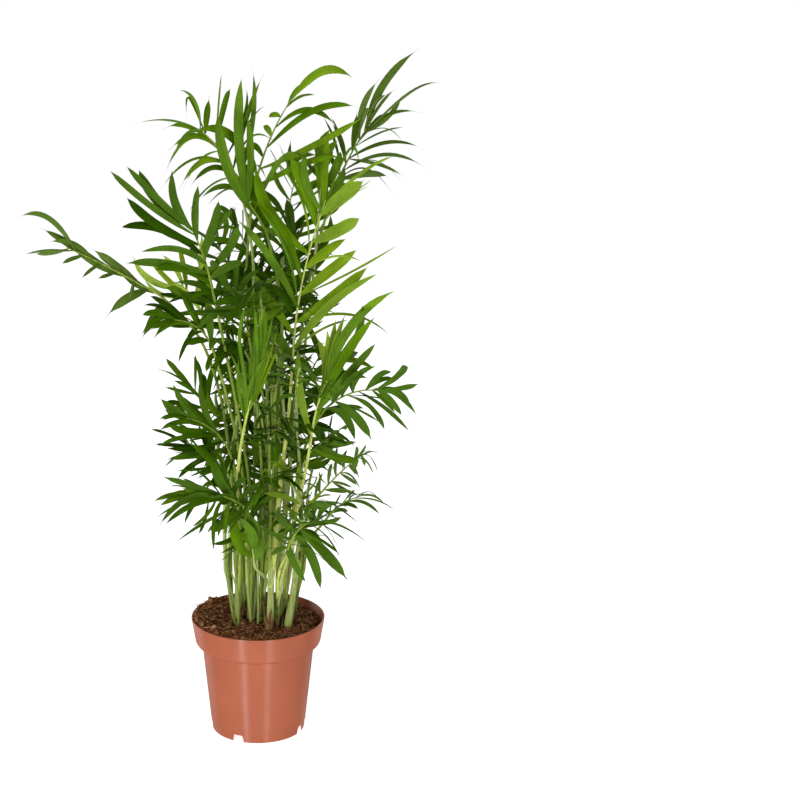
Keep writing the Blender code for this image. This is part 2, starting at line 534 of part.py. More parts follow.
def rachis_at(bend, share):
    """Point and direction on the rachis, from 0 at the neck to 1 at the tip."""
    neck, bow, tip = bend
    point = neck * (1 - share) ** 2 + bow * 2 * share * (1 - share) + tip * share ** 2
    return point, unit((bow - neck) * (1 - share) + (tip - bow) * share)


def petiole_at(root, aim, bend, share):
    """Point on the petiole, which leaves its root along aim and runs into the rachis."""
    neck = bend[0]
    reach = np.linalg.norm(neck - root) * 0.9
    back = 1 - share
    point = root * back ** 2 * (1 + 2 * share) + neck * share ** 2 * (3 - 2 * share)
    return point + aim * reach * share * back ** 2 - rachis_at(bend, 0)[1] * reach * share ** 2 * back


def leaflet_places(pairs):
    """Place along the rachis and side of each leaflet, left and right in turn, then the last pair."""
    for pair in range(pairs):
        yield pair / pairs, -1
        yield (pair + RIGHT_STAGGER) / pairs, 1
    yield LAST_PLACES[0], -1
    yield LAST_PLACES[1], 1


def leaflets_of(frond, own):
    """The frond's leaflets by its rule; those listed in own have their own angle, length, droop and width."""
    bend = rachis_bend(frond)
    draw = random.Random(frond.seed)
    near_angle, far_angle, last_angle = frond.spread
    found = []
    for number, (place, side) in enumerate(leaflet_places(frond.pairs)):
        sway = [draw.uniform(-1, 1) for _ in range(6)]
        point, along = rachis_at(bend, place)
        face = turned(unit(FRONT - along * along.dot(FRONT)), along, frond.turn)
        outward = np.cross(along, face) * side
        if number < 2 * frond.pairs:
            angle = near_angle + (far_angle - near_angle) * place + sway[0] * JITTER_ANGLE
            size = 0.62 + 0.38 * math.sin(math.pi * (0.85 * place + 0.12))
            breadth = 0.8 + 0.2 * math.sin(math.pi * (0.8 * place + 0.15))
        else:
            angle = last_angle + sway[0] * JITTER_ANGLE / 2
            size, breadth = LAST_SIZE
        length = frond.length * size * (1 + JITTER_LENGTH * sway[2])
        width = frond.width * breadth * (1 + JITTER_WIDTH * sway[3])
        droop = frond.droop * (1 + JITTER_DROOP * sway[4])
        if number in own:
            angle, length, droop, width = own[number]
        off = math.radians(angle)
        lift = math.radians(frond.lift + JITTER_LIFT * sway[1])
        raised = outward * math.cos(lift) + face * math.sin(lift)
        aim = along * math.cos(off) + raised * math.sin(off)
        across = turned(unit(along - aim * aim.dot(along)), aim, JITTER_TWIST * sway[5])
        found.append(Leaflet(place, point, aim, across, length * MM, width * MM, droop))
    return found


def leaflet_line(leaflet, shares):
    """Points along a leaflet's midrib: straight at its root, drooping towards its tip."""
    whole = np.linspace(0, 1, 13)[:, None]
    path = leaflet.aim * whole - UP * leaflet.droop * whole ** DROOP_POWER
    stretch = np.linalg.norm(np.diff(path, axis=0), axis=1).sum()
    size = leaflet.length / stretch
    return [leaflet.root + (leaflet.aim * share - UP * leaflet.droop * share ** DROOP_POWER) * size
            for share in shares]


def leaflet_breadth(share):
    """Width as a share of the full width, from the belly's full width to the pointed tip."""
    return math.cos((share - BELLY) / (1 - BELLY) * math.pi / 2) ** 1.15


def leaflet_solid(leaflet, extra=0.0, start=0.0):
    """Points and triangles of a leaflet with a three-sided section and a pointed tip."""
    shares = [start, BELLY, BEND] if leaflet.droop > STRAIGHT_DROOP else [start, BELLY]
    line = leaflet_line(leaflet, [*shares, 1.0])
    points, faces = [], [(2, 1, 0)]
    for number, share in enumerate(shares):
        centre = line[number]
        along = unit(line[number + 1] - line[max(number - 1, 0)])
        normal = unit(np.cross(along, leaflet.across))
        if number:
            half = leaflet.width * leaflet_breadth(share) / 2 + extra
            thick = max(LEAF_THICK_SHARE * leaflet.length, LEAF_THICK_LEAST) + 2 * extra
        else:
            grown = start / BELLY
            half = (ROOT_WIDTH + (leaflet.width - ROOT_WIDTH) * grown) / 2 + extra
            thick = ROOT_THICK + 2 * extra
        points += [centre - leaflet.across * half - normal * thick / 3,
                   centre + leaflet.across * half - normal * thick / 3,
                   centre + normal * thick * 2 / 3]
        if number:
            low, high = number * 3 - 3, number * 3
            for corner in range(3):
                after = (corner + 1) % 3
                faces.append((low + corner, low + after, high + after))
                faces.append((low + corner, high + after, high + corner))
    tip, low = len(points), len(points) - 3
    points.append(line[-1] + unit(line[-1] - line[-2]) * extra)
    faces += [(low + corner, low + (corner + 1) % 3, tip) for corner in range(3)]
    return points, faces


class Shape:
    """Points and faces with their box and search tree, to test what touches what."""

    def __init__(self, points, faces):
        self.low, self.high = np.min(points, axis=0), np.max(points, axis=0)
        self.tree = BVHTree.FromPolygons([tuple(point) for point in points], faces)

    def touches(self, other):
        apart = (self.low > other.high).any() or (other.low > self.high).any()
        return not apart and bool(self.tree.overlap(other.tree))


class Limb:
    """A frond's petiole and rachis as one tube, which can be shifted in its middle."""

    def __init__(self, frond, root, aim, shift):
        self.bend = rachis_bend(frond)
        self.shift = shift
        petiole = [petiole_at(root, aim, self.bend, step / PETIOLE_STEPS) for step in range(PETIOLE_STEPS)]
        rachis = [rachis_at(self.bend, step / RACHIS_STEPS)[0] for step in range(RACHIS_STEPS + 1)]
        self.path = petiole + rachis
        lengths = np.concatenate(([0], np.cumsum(np.linalg.norm(np.diff(self.path, axis=0), axis=1))))
        self.spots = lengths / lengths[-1]
        self.neck_spot = self.spots[PETIOLE_STEPS]
        self.path = [point + self.moved(spot) for point, spot in zip(self.path, self.spots)]
        self.radii = np.interp(self.spots, (0, self.neck_spot, 1),
                               (PETIOLE_RADIUS, NECK_RADIUS, RACHIS_TIP_RADIUS))

    def moved(self, spot):
        """How far the limb is shifted at a share of its length."""
        return self.shift * math.sin(math.pi * spot)

    def on_rachis(self, share):
        """Point on the tube's straight pieces, at a share of the rachis."""
        step = min(int(share * RACHIS_STEPS), RACHIS_STEPS - 1)
        low, high = self.path[PETIOLE_STEPS + step], self.path[PETIOLE_STEPS + step + 1]
        return low + (high - low) * (share * RACHIS_STEPS - step)

    def solid(self, extra=0.0):
        return tube(self.path, [radius + extra for radius in self.radii], TUBE_SIDES, (0,))


def petiole_roots():
    """Root and direction of each frond, on a ring round its stem's top, in the order of where the fronds go."""
    roots = {}
    for stem_name, stem in STEMS.items():
        foot, top = stem_ends(stem)
        headings = {}
        for name, frond in FRONDS.items():
            if frond.stem == stem_name:
                x, y, _ = np.array(frond.tip) * MM - top
                headings[name] = complex(x, y) / math.hypot(x, y)
        middle = cmath.phase(sum(headings.values()))
        borne = sorted(headings, key=lambda name: cmath.phase(headings[name] * cmath.rect(1, -middle)))
        ring = CROWN_RING if len(borne) > 1 else 0.0
        for rank, name in enumerate(borne):
            angle = middle + 2 * math.pi * (rank - (len(borne) - 1) / 2) / len(borne)
            spread = np.array((math.cos(angle), math.sin(angle), 0)) * ring
            roots[name] = top + UP * CLEAR + spread, unit(top - foot)
    return roots


def shifts():
    """No shift first, then wider and wider ones, all round."""
    yield np.zeros(3)
    for reach in (2, 4, 6, 8, 11, 14):
        for step in range(8):
            angle = math.pi / 4 * step
            yield np.array((math.cos(angle), math.sin(angle), 0)) * reach * MM


def place_limbs(stem_shapes):
    """The limb of each frond, shifted where it would touch a stem or another limb."""
    roots, limbs, standing = petiole_roots(), {}, list(stem_shapes)
    for name, frond in FRONDS.items():
        for shift in shifts():
            limb = Limb(frond, *roots[name], shift)
            probe = Shape(*limb.solid(PROBE))
            if not any(probe.touches(other) for other in standing):
                break
        limbs[name] = limb
        standing.append(Shape(*limb.solid()))
    return limbs


def varied(leaflet):
    """The leaflet as the rule gives it, then turned and drooping a little otherwise, then shorter."""
    for size in (1.0, 0.85, 0.7, 0.55):
        for droop in (0.0, 0.12, -0.12, 0.25):
            for tilt in (0, 9, -9, 18, -18):
                yield leaflet._replace(
                    aim=turned(leaflet.aim, leaflet.across, tilt), length=leaflet.length * size,
                    width=leaflet.width * (0.4 + 0.6 * size), droop=max(0.0, leaflet.droop + droop))


def clear_leaflet(leaflet, strangers, kin):
    """The first variation that is clear of other fronds and, outside its root, of its own; or None."""
    for tried in varied(leaflet):
        whole = Shape(*leaflet_solid(tried, PROBE))
        if any(whole.touches(shape) for shape in strangers):
            continue
        outside = Shape(*leaflet_solid(tried, PROBE / 2, FREE_SHARE))
        if not any(outside.touches(shape) for shape in kin):
            return tried
    return None


def fuse(target, parts):
    """Joins the parts to the target by one Boolean union, and removes them."""
    group = bpy.data.collections.new(target.name + "_leaflets")
    bpy.context.scene.collection.children.link(group)
    for part in parts:
        bpy.context.scene.collection.objects.unlink(part)
        group.objects.link(part)
    apply_boolean(target, group, "UNION")
    for part in parts:
        bpy.data.objects.remove(part)
    bpy.data.collections.remove(group)


def build_fronds(stem_shapes):
    """Each frond as one blade; a leaflet that finds no clear place is left out."""
    limbs = place_limbs(stem_shapes)
    limb_shapes = {name: Shape(*limb.solid()) for name, limb in limbs.items()}
    grown = {name: [] for name in FRONDS}
    for name, frond in FRONDS.items():
        strangers = list(stem_shapes)
        for other in FRONDS:
            if other != name:
                strangers += [limb_shapes[other], *grown[other]]
        parts = []
        for number, leaflet in enumerate(leaflets_of(frond, OWN_LEAFLETS.get(name, {}))):
            on_tube = leaflet._replace(root=limbs[name].on_rachis(leaflet.place))
            clear = clear_leaflet(on_tube, strangers, grown[name])
            if clear is None:
                continue
            points, faces = leaflet_solid(clear)
            grown[name].append(Shape(points, faces))
            parts.append(add_object(f"{name}_leaflet_{number}", points, faces, "leaf_" + frond.tone))
        fuse(add_object(name, *limbs[name].solid(), "leaf_" + frond.tone), parts)


def clear_scene():
    for old in list(bpy.data.objects):
        bpy.data.objects.remove(old)


def main():
    clear_scene()
    build_pot()
    build_soil()
    standing = [Shape(*build_stem(name, stem)) for name, stem in STEMS.items()]
    build_fronds(standing)


main()
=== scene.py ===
"""The looks of the potted parlour palm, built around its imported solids, in metres, +Z up.

The pot, the soil, the stems and every frond are replaced by finer pieces in the same places. A frond grows
by its solid's own rule, with keeled leaflets in their natural outline, and with more of them where none is
listed by itself.
"""
import cmath
import random
from collections import namedtuple
from math import cos, exp, hypot, pi, radians, sin, sqrt

import bmesh
import bpy
import numpy as np
from mathutils import Matrix, Vector, noise
from mathutils.bvhtree import BVHTree


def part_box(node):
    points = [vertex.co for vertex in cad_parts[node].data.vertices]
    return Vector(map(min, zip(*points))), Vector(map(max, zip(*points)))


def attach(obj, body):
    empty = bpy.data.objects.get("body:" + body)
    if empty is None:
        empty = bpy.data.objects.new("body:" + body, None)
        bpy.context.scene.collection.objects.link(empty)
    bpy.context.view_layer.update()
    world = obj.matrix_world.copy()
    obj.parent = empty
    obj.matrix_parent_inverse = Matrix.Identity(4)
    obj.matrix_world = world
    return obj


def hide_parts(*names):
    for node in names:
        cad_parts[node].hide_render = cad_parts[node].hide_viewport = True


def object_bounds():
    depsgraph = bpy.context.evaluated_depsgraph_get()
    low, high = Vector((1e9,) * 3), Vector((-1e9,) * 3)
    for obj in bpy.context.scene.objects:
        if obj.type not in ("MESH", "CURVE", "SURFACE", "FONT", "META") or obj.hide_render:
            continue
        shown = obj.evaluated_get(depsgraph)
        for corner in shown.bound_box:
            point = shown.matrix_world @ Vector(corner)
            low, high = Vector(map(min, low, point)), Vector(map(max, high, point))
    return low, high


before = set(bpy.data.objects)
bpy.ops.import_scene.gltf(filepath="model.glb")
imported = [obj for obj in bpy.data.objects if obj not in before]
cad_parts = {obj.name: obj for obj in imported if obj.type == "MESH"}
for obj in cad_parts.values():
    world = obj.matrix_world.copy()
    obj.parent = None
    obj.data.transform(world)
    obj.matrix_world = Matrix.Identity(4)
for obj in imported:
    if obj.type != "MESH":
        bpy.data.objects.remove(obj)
cad_low, cad_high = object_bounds()
pot_low, pot_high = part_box("pot")

MM = 0.001
UP = np.array((0.0, 0.0, 1.0))
FRONT = np.array((0.0, -1.0, 0.0))
CLEAR = 0.3 * MM

# Stage: the camera, fitted to the pot's rim, collar and base in an image of 800 x 800, and the floor
CAMERA_PLACE, CAMERA_LENS, SENSOR = (0.0, -2.0, 0.90475), 106.74, 36.0
CAMERA_PITCH, CAMERA_YAW, CAMERA_ROLL = 0.2889, 0.0626, 0.0148
AMBIENT, FLOOR_RADIUS, FLOOR_SEGMENTS = 0.15, 2.2, 96

# Pot: the solid's sizes, with the collar's slanted foot, rounded edges and the set-back foot ring
POT_HEIGHT, RIM_RADIUS, BASE_RADIUS = pot_high.z, pot_high.x, 41.9 * MM
COLLAR_BOTTOM, COLLAR_LOW_RADIUS, BODY_TOP_RADIUS = 82.8 * MM, 56.2 * MM, 50.6 * MM
WALL, FLOOR_THICK, FOOT_HEIGHT, FOOT_SETBACK = 1.4 * MM, 1.6 * MM, 7.0 * MM, 0.35 * MM
PAD_RADIUS, PAD_SLOPE, COLLAR_SLANT = 24.0 * MM, 4.0 * MM, 2.6 * MM
NOTCHES, NOTCH_WIDTH, FIRST_NOTCH = 4, 10.0 * MM, 244.0
POT_SEGMENTS, CORNER_STEPS = 160, 5

# Soil: the solid's leaning dome, with lumps, a mound at the left, a clod at the back and a crack in front;
# one crumb and one fibre in so many lie along the rim at the left
SOIL_LEVEL, SOIL_TILT, SOIL_BACK, SOIL_DOME = 101.5 * MM, 2.6 * MM, 1.2 * MM, 2.0 * MM
MOUND_HEIGHT, LUMP_HEIGHT, GRAIN_HEIGHT, EDGE_DROP = 5.4 * MM, 3.6 * MM, 1.0 * MM, 2.6 * MM
CRACK_PLACE, CRACK_RADIUS, CRACK_DEPTH = (12.5 * MM, -33.0 * MM), 4.5 * MM, 6.0 * MM
CLOD_PLACE, CLOD_RADIUS, CLOD_HEIGHT = (21.5 * MM, 43.0 * MM), 6.5 * MM, 10.0 * MM
MOUND_WAY, MOUND_POWER, FRONT_RISE, EDGE_FROM, EDGE_WIDTH = (-0.97, 0.25), 1.3, 1.6 * MM, 0.86, 0.12
LUMP_SCALE, GRAIN_SCALE = 85, 420
SOIL_RINGS, SOIL_SEGMENTS = 72, 240
CRUMBS, FIBRES, FIBRE_STEPS = 3400, 1300, 5
RIM_CRUMBS, RIM_FIBRES = 14, 36
CRUMB_SIZE, CRUMB_RANGE = 0.5 * MM, 2.1 * MM
FIBRE_LENGTHS, RIM_FIBRE_LENGTHS, FIBRE_RADII = (3, 11), (4, 7), (0.15, 0.34)

# Stems and sheaths
STEM_SIDES, STEM_JOINTS, SHEATH_SWELL = 7, 3, 1.18
FINE_STEM_SIDES, FINE_STEM_STEPS, ROOT_DEPTH, STEM_SWAY, STEM_FLAT = 14, 26, 5 * MM, 0.8 * MM, 0.86
SHOOTS, SHOOT_HEIGHTS, SHOOT_RADII, SHOOT_STEPS, SHOOT_SIDES = 16, (45, 190), (0.9, 1.6), 12, 8
CLUMP_X, CLUMP_Y = (-20, 26), (-24, 28)
SHEATH_ROWS, SHEATH_COLUMNS, SHEATH_POINT = 10, 10, 1.5
# Sheath: stem, heading from the front, height of its low edge and length in mm, angle round the stem, and
# how far its point stands off in mm
SHEATHS = (
    (1, 60, 4, 16, 150, 0.6), (2, -30, 0, 27, 150, 1.0), (3, 10, -2, 20, 170, 1.6), (4, 0, 6, 24, 190, 1.2),
    (5, 15, -4, 28, 210, 2.4), (5, -80, 6, 20, 150, 1.0), (6, 20, 0, 15, 200, 1.0),
    (7, -100, 0, 12, 160, 0.8), (8, 30, -2, 18, 220, 1.4), (12, 0, 8, 22, 200, 1.4),
    (13, -20, 2, 18, 200, 1.2), (11, 30, 0, 14, 200, 1.2),
)

# Fronds: the tubes of the solids' rule, and the finer ones that show
PETIOLE_RADIUS, NECK_RADIUS, RACHIS_TIP_RADIUS = 1.4 * MM, 1.25 * MM, 0.9 * MM
PETIOLE_STEPS, RACHIS_STEPS, TUBE_SIDES = 5, 4, 3
CROWN_RING, PROBE = 2.5 * MM, 0.35 * MM
FINE_SIDES, FINE_STEPS = 8, 5
FINE_RADII = (1.55 * MM, 1.15 * MM, 0.45 * MM)
SHEATH_DEPTH, SHORT_PETIOLE, STRAIGHTENED = 26 * MM, 60 * MM, 0.7
DROOP_POWER = 2.4
SHIFT_REACHES, SHIFT_WAYS = (2, 4, 6, 8, 11, 14), 8

# Leaflets: their places and swings by the solids' rule, then how the finer, wild and bundled ones differ
RIGHT_STAGGER, LAST_PLACES, LAST_SIZE = 0.45, (0.93, 0.975), (0.85, 1.15)
LIFT, JITTER_ANGLE, JITTER_LIFT, JITTER_TWIST = 10, 8.0, 8.0, 25.0
JITTER_LENGTH, JITTER_WIDTH, JITTER_DROOP = 0.13, 0.15, 0.5
FINER, FINER_WIDTH, WILD, STRAP_WIDTH = 1.5, 0.88, 2.1, 0.92
BUNDLE_WIDTH, BUNDLE_TURN, BUNDLE_LENGTHS = 1.7, 50, (0.75, 1.0)

# Young fronds inside the crown, in mm and degrees: how many, their heights, and the ranges of their draws
YOUNG_FRONDS, YOUNG_LOW, YOUNG_HIGH, CROWN_MIDDLE, GOLDEN = 18, 230, 430, (4, 2), 0.381966
YOUNG_ACROSS, YOUNG_SEED, YOUNG_NECKS, YOUNG_RISES = 0.45, 200, (12, 26), (24, 46)
YOUNG_TURNS, YOUNG_LENGTHS, YOUNG_DROOPS, YOUNG_SPREAD = (-35, 35), (42, 54), (0.2, 0.5), (62, 28, 17)

# A leaflet's mesh: stations along it, places across its half width, thickness, fold and outline, and how
# far it may bend sideways, twist and wave
STATIONS, TIP_STATION = 15, 0.975
PLACES_ACROSS = (-1.0, -0.55, 0.0, 0.55, 1.0)
BLADE_THICK, FOLD, ROOT_SHARE, BELLY_AT = 0.32 * MM, (0.22, 0.5), 0.22, 0.42
BLUNT, SLENDER, TAIL_LENGTH, TAIL_WIDTH = 6.5, 3.4, 0.19, 0.08
SICKLE, WILD_SICKLE, TWIST, TAIL_SWAY = 0.55, 1.0, 0.7, 0.25
WAVES, WAVE_TURNS, STREAKS, CHORDS = (0.02, 0.09), (1.5, 3.0), 60, 12

Stem = namedtuple("Stem", "foot top foot_radius top_radius")
Frond = namedtuple("Frond", "stem neck tip arch turn pairs length width spread droop tone seed",
                   defaults=("dark", None))
Leaflet = namedtuple("Leaflet", "place side root aim across length width droop")

# Stem: foot on the soil (x, y), top (x, y, z), and the radii there, in mm
STEM_ROWS = (
    ((-17, -3), (-19, -6, 157), 2.9, 2.3), ((-8, -4), (-6, -6, 150), 2.2, 1.8),
    ((-3, 13), (-2, 4, 149), 2, 1.7), ((2, -7), (5, -12, 145), 2.2, 1.8),
    ((9, -28), (12, -30, 171), 3.2, 2.4), ((15, -19), (19, -24, 152), 2.4, 2),
    ((25, -22), (35, -24, 163), 3.2, 2.5), ((23, 7), (27, 2, 148), 2.4, 2),
    ((32, 17), (39, 12, 146), 2.2, 1.8), ((-22, 21), (-27, 12, 146), 2.2, 1.8),
    ((-13, 20), (-14, 16, 152), 2.4, 2), ((4, 30), (5, 24, 145), 2.2, 1.8),
    ((17, 30), (20, 26, 142), 2.2, 1.8),
)
STEMS = {number: Stem(*row) for number, row in enumerate(STEM_ROWS, 1)}

# Frond: its stem, the rachis's neck and tip in mm, arch as a share of their distance, turn of the blade
# from facing the front, pairs, leaflet length and width in mm, their angles off the rachis (first pair, far
# pair, last pair), droop, and its tone where it isn't dark; angles are in degrees
FROND_ROWS = (
    (1, (-79, -25, 407), (-159, -50, 458), 0.02, 45, 6, 58, 7.5, (56, 20, 8), 0.38),
    (2, (-38, -60, 427), (-55, -78, 483), 0.04, 8, 6, 66, 8.5, (84, 40, 22), 0.08),
    (10, (-13, -10, 497), (-48, -20, 554), 0.06, 22, 5, 68, 6.5, (66, 26, 20), 0.42, "mid"),
    (12, (-4, 10, 486), (30, 10, 575), 0.05, -30, 5, 88, 7, (44, 26, 30), 0.42, "mid"),
    (13, (67, 20, 493), (95, 28, 546), 0.03, -15, 5, 66, 4.8, (50, 20, 6), 0.3),
    (5, (30, -40, 355), (58, -36, 496), 0.04, -4, 6, 84, 11, (50, 26, 14), 0.04, "bright"),
    (1, (-10, -72, 313), (-3, -78, 345), 0, 0, 4, 80, 6, (12, 8, 4), 0.02, "mid"),
    (8, (46, -62, 296), (62, -60, 352), 0.04, 5, 4, 70, 8, (36, 24, 14), 0.06, "bright"),
    (9, (55, -44, 310), (104, -60, 336), 0.12, 35, 5, 48, 7.5, (62, 24, 14), 0.4),
    (9, (49, -20, 221), (92, -25, 267), 0.04, 25, 6, 34, 3.6, (62, 28, 17), 0.35),
    (8, (62, -5, 203), (89, -5, 221), 0.1, 40, 4, 28, 4, (60, 24, 14), 0.35),
    (7, (26, -70, 197), (51, -110, 236), 0.1, 15, 5, 56, 7.5, (80, 45, 27), 0.35),
    (1, (-10, -58, 228), (-49, -85, 248), 0.12, 40, 6, 48, 6, (72, 30, 18), 0.45),
    (10, (-23, -30, 228), (-61, -45, 285), 0.14, 60, 5, 40, 5.5, (62, 30, 18), 0.35),
    (10, (-28, -25, 272), (-61, -45, 307), 0.1, 35, 6, 50, 5.2, (66, 24, 14), 0.4),
    (2, (-37, -50, 367), (-69, -75, 402), 0.14, 45, 5, 56, 9, (70, 30, 18), 0.55),
    (4, (-3, -55, 175), (-5, -58, 193), 0, 0, 1, 40, 10, (16, 10, 6), 0.05, "mid"),
    (6, (39, -45, 217), (28, -50, 250), 0.05, 10, 2, 34, 5, (50, 25, 15), 0.1, "bright"),
    (11, (-44, 40, 363), (-66, 45, 402), 0.05, 10, 3, 56, 6.5, (36, 18, 11), 0.05, "yellow"),
    (3, (9, -15, 460), (-8, -20, 491), 0.04, 0, 2, 88, 12, (30, 14, 6), 0.05, "mid"),
    (13, (53, 5, 459), (56, 5, 515), 0, 0, 4, 62, 9, (44, 14, 10), 0.04, "mid"),
    (3, (9, 10, 325), (1, 15, 396), 0.04, -15, 4, 64, 8, (50, 26, 16), 0.15),
    (6, (22, 20, 368), (29, 25, 437), 0.03, 20, 4, 66, 7.5, (48, 24, 14), 0.1),
    (4, (-6, -30, 368), (-21, -45, 418), 0.06, 10, 4, 56, 7, (60, 30, 18), 0.3),
    (11, (-27, 5, 372), (-37, 0, 400), 0.05, 20, 4, 60, 7, (70, 40, 24), 0.2),
    (12, (4, 20, 238), (-5, 30, 297), 0.05, 10, 4, 54, 6.5, (56, 28, 17), 0.25),
    (13, (31, 30, 254), (43, 40, 303), 0.05, -10, 4, 54, 7.5, (60, 30, 18), 0.25),
    (8, (37, -30, 255), (59, -45, 287), 0.1, 30, 4, 38, 7, (66, 32, 19), 0.4),
    (3, (-10, -35, 192), (-24, -55, 231), 0.08, 30, 4, 46, 6.5, (66, 30, 18), 0.35),
    (12, (11, -10, 201), (4, -15, 250), 0.03, 0, 4, 44, 6, (50, 25, 15), 0.15),
    (6, (30, -50, 192), (41, -60, 223), 0.05, 25, 4, 42, 6, (64, 34, 20), 0.3),
    (10, (-30, 20, 238), (-55, 30, 252), 0.1, 40, 4, 40, 5, (66, 30, 18), 0.35),
    (2, (-39, 30, 273), (-58, 40, 309), 0.08, 30, 4, 46, 5.5, (56, 28, 17), 0.25),
    (11, (-17, 55, 386), (-35, 105, 424), 0.08, 10, 4, 60, 7, (60, 28, 17), 0.3),
    (3, (13, 60, 353), (17, 112, 402), 0.08, -5, 4, 62, 7.5, (58, 28, 17), 0.3, "mid"),
    (9, (40, 60, 292), (60, 112, 322), 0.08, -15, 4, 56, 7, (62, 30, 18), 0.35),
    (9, (49, 50, 226), (67, 105, 239), 0.1, -15, 4, 48, 6.5, (64, 32, 19), 0.4),
    (12, (4, 65, 241), (-7, 118, 270), 0.08, 10, 4, 54, 6.5, (60, 30, 18), 0.35),
    (11, (-20, 60, 214), (-40, 100, 230), 0.1, 20, 4, 46, 6, (64, 32, 19), 0.4),
    (13, (29, 55, 176), (42, 105, 186), 0.1, -10, 4, 44, 6, (66, 34, 20), 0.4),
    (4, (-11, 50, 169), (-22, 98, 175), 0.1, 20, 4, 44, 6, (66, 34, 20), 0.4),
    (5, (4, -72, 405), (-2, -118, 445), 0.12, 10, 4, 50, 6.5, (62, 28, 17), 0.45),
    (7, (30, -60, 330), (36, -112, 372), 0.1, -10, 4, 48, 6.5, (64, 30, 18), 0.4),
    (6, (24, 52, 432), (34, 108, 484), 0.06, -10, 4, 60, 7.5, (54, 26, 16), 0.2),
)
SEEDS = (*range(1, 34), *range(41, 49), 51, 53, 52)
FRONDS = {number: Frond(*row)._replace(seed=seed)
          for number, (row, seed) in enumerate(zip(FROND_ROWS, SEEDS), 1)}

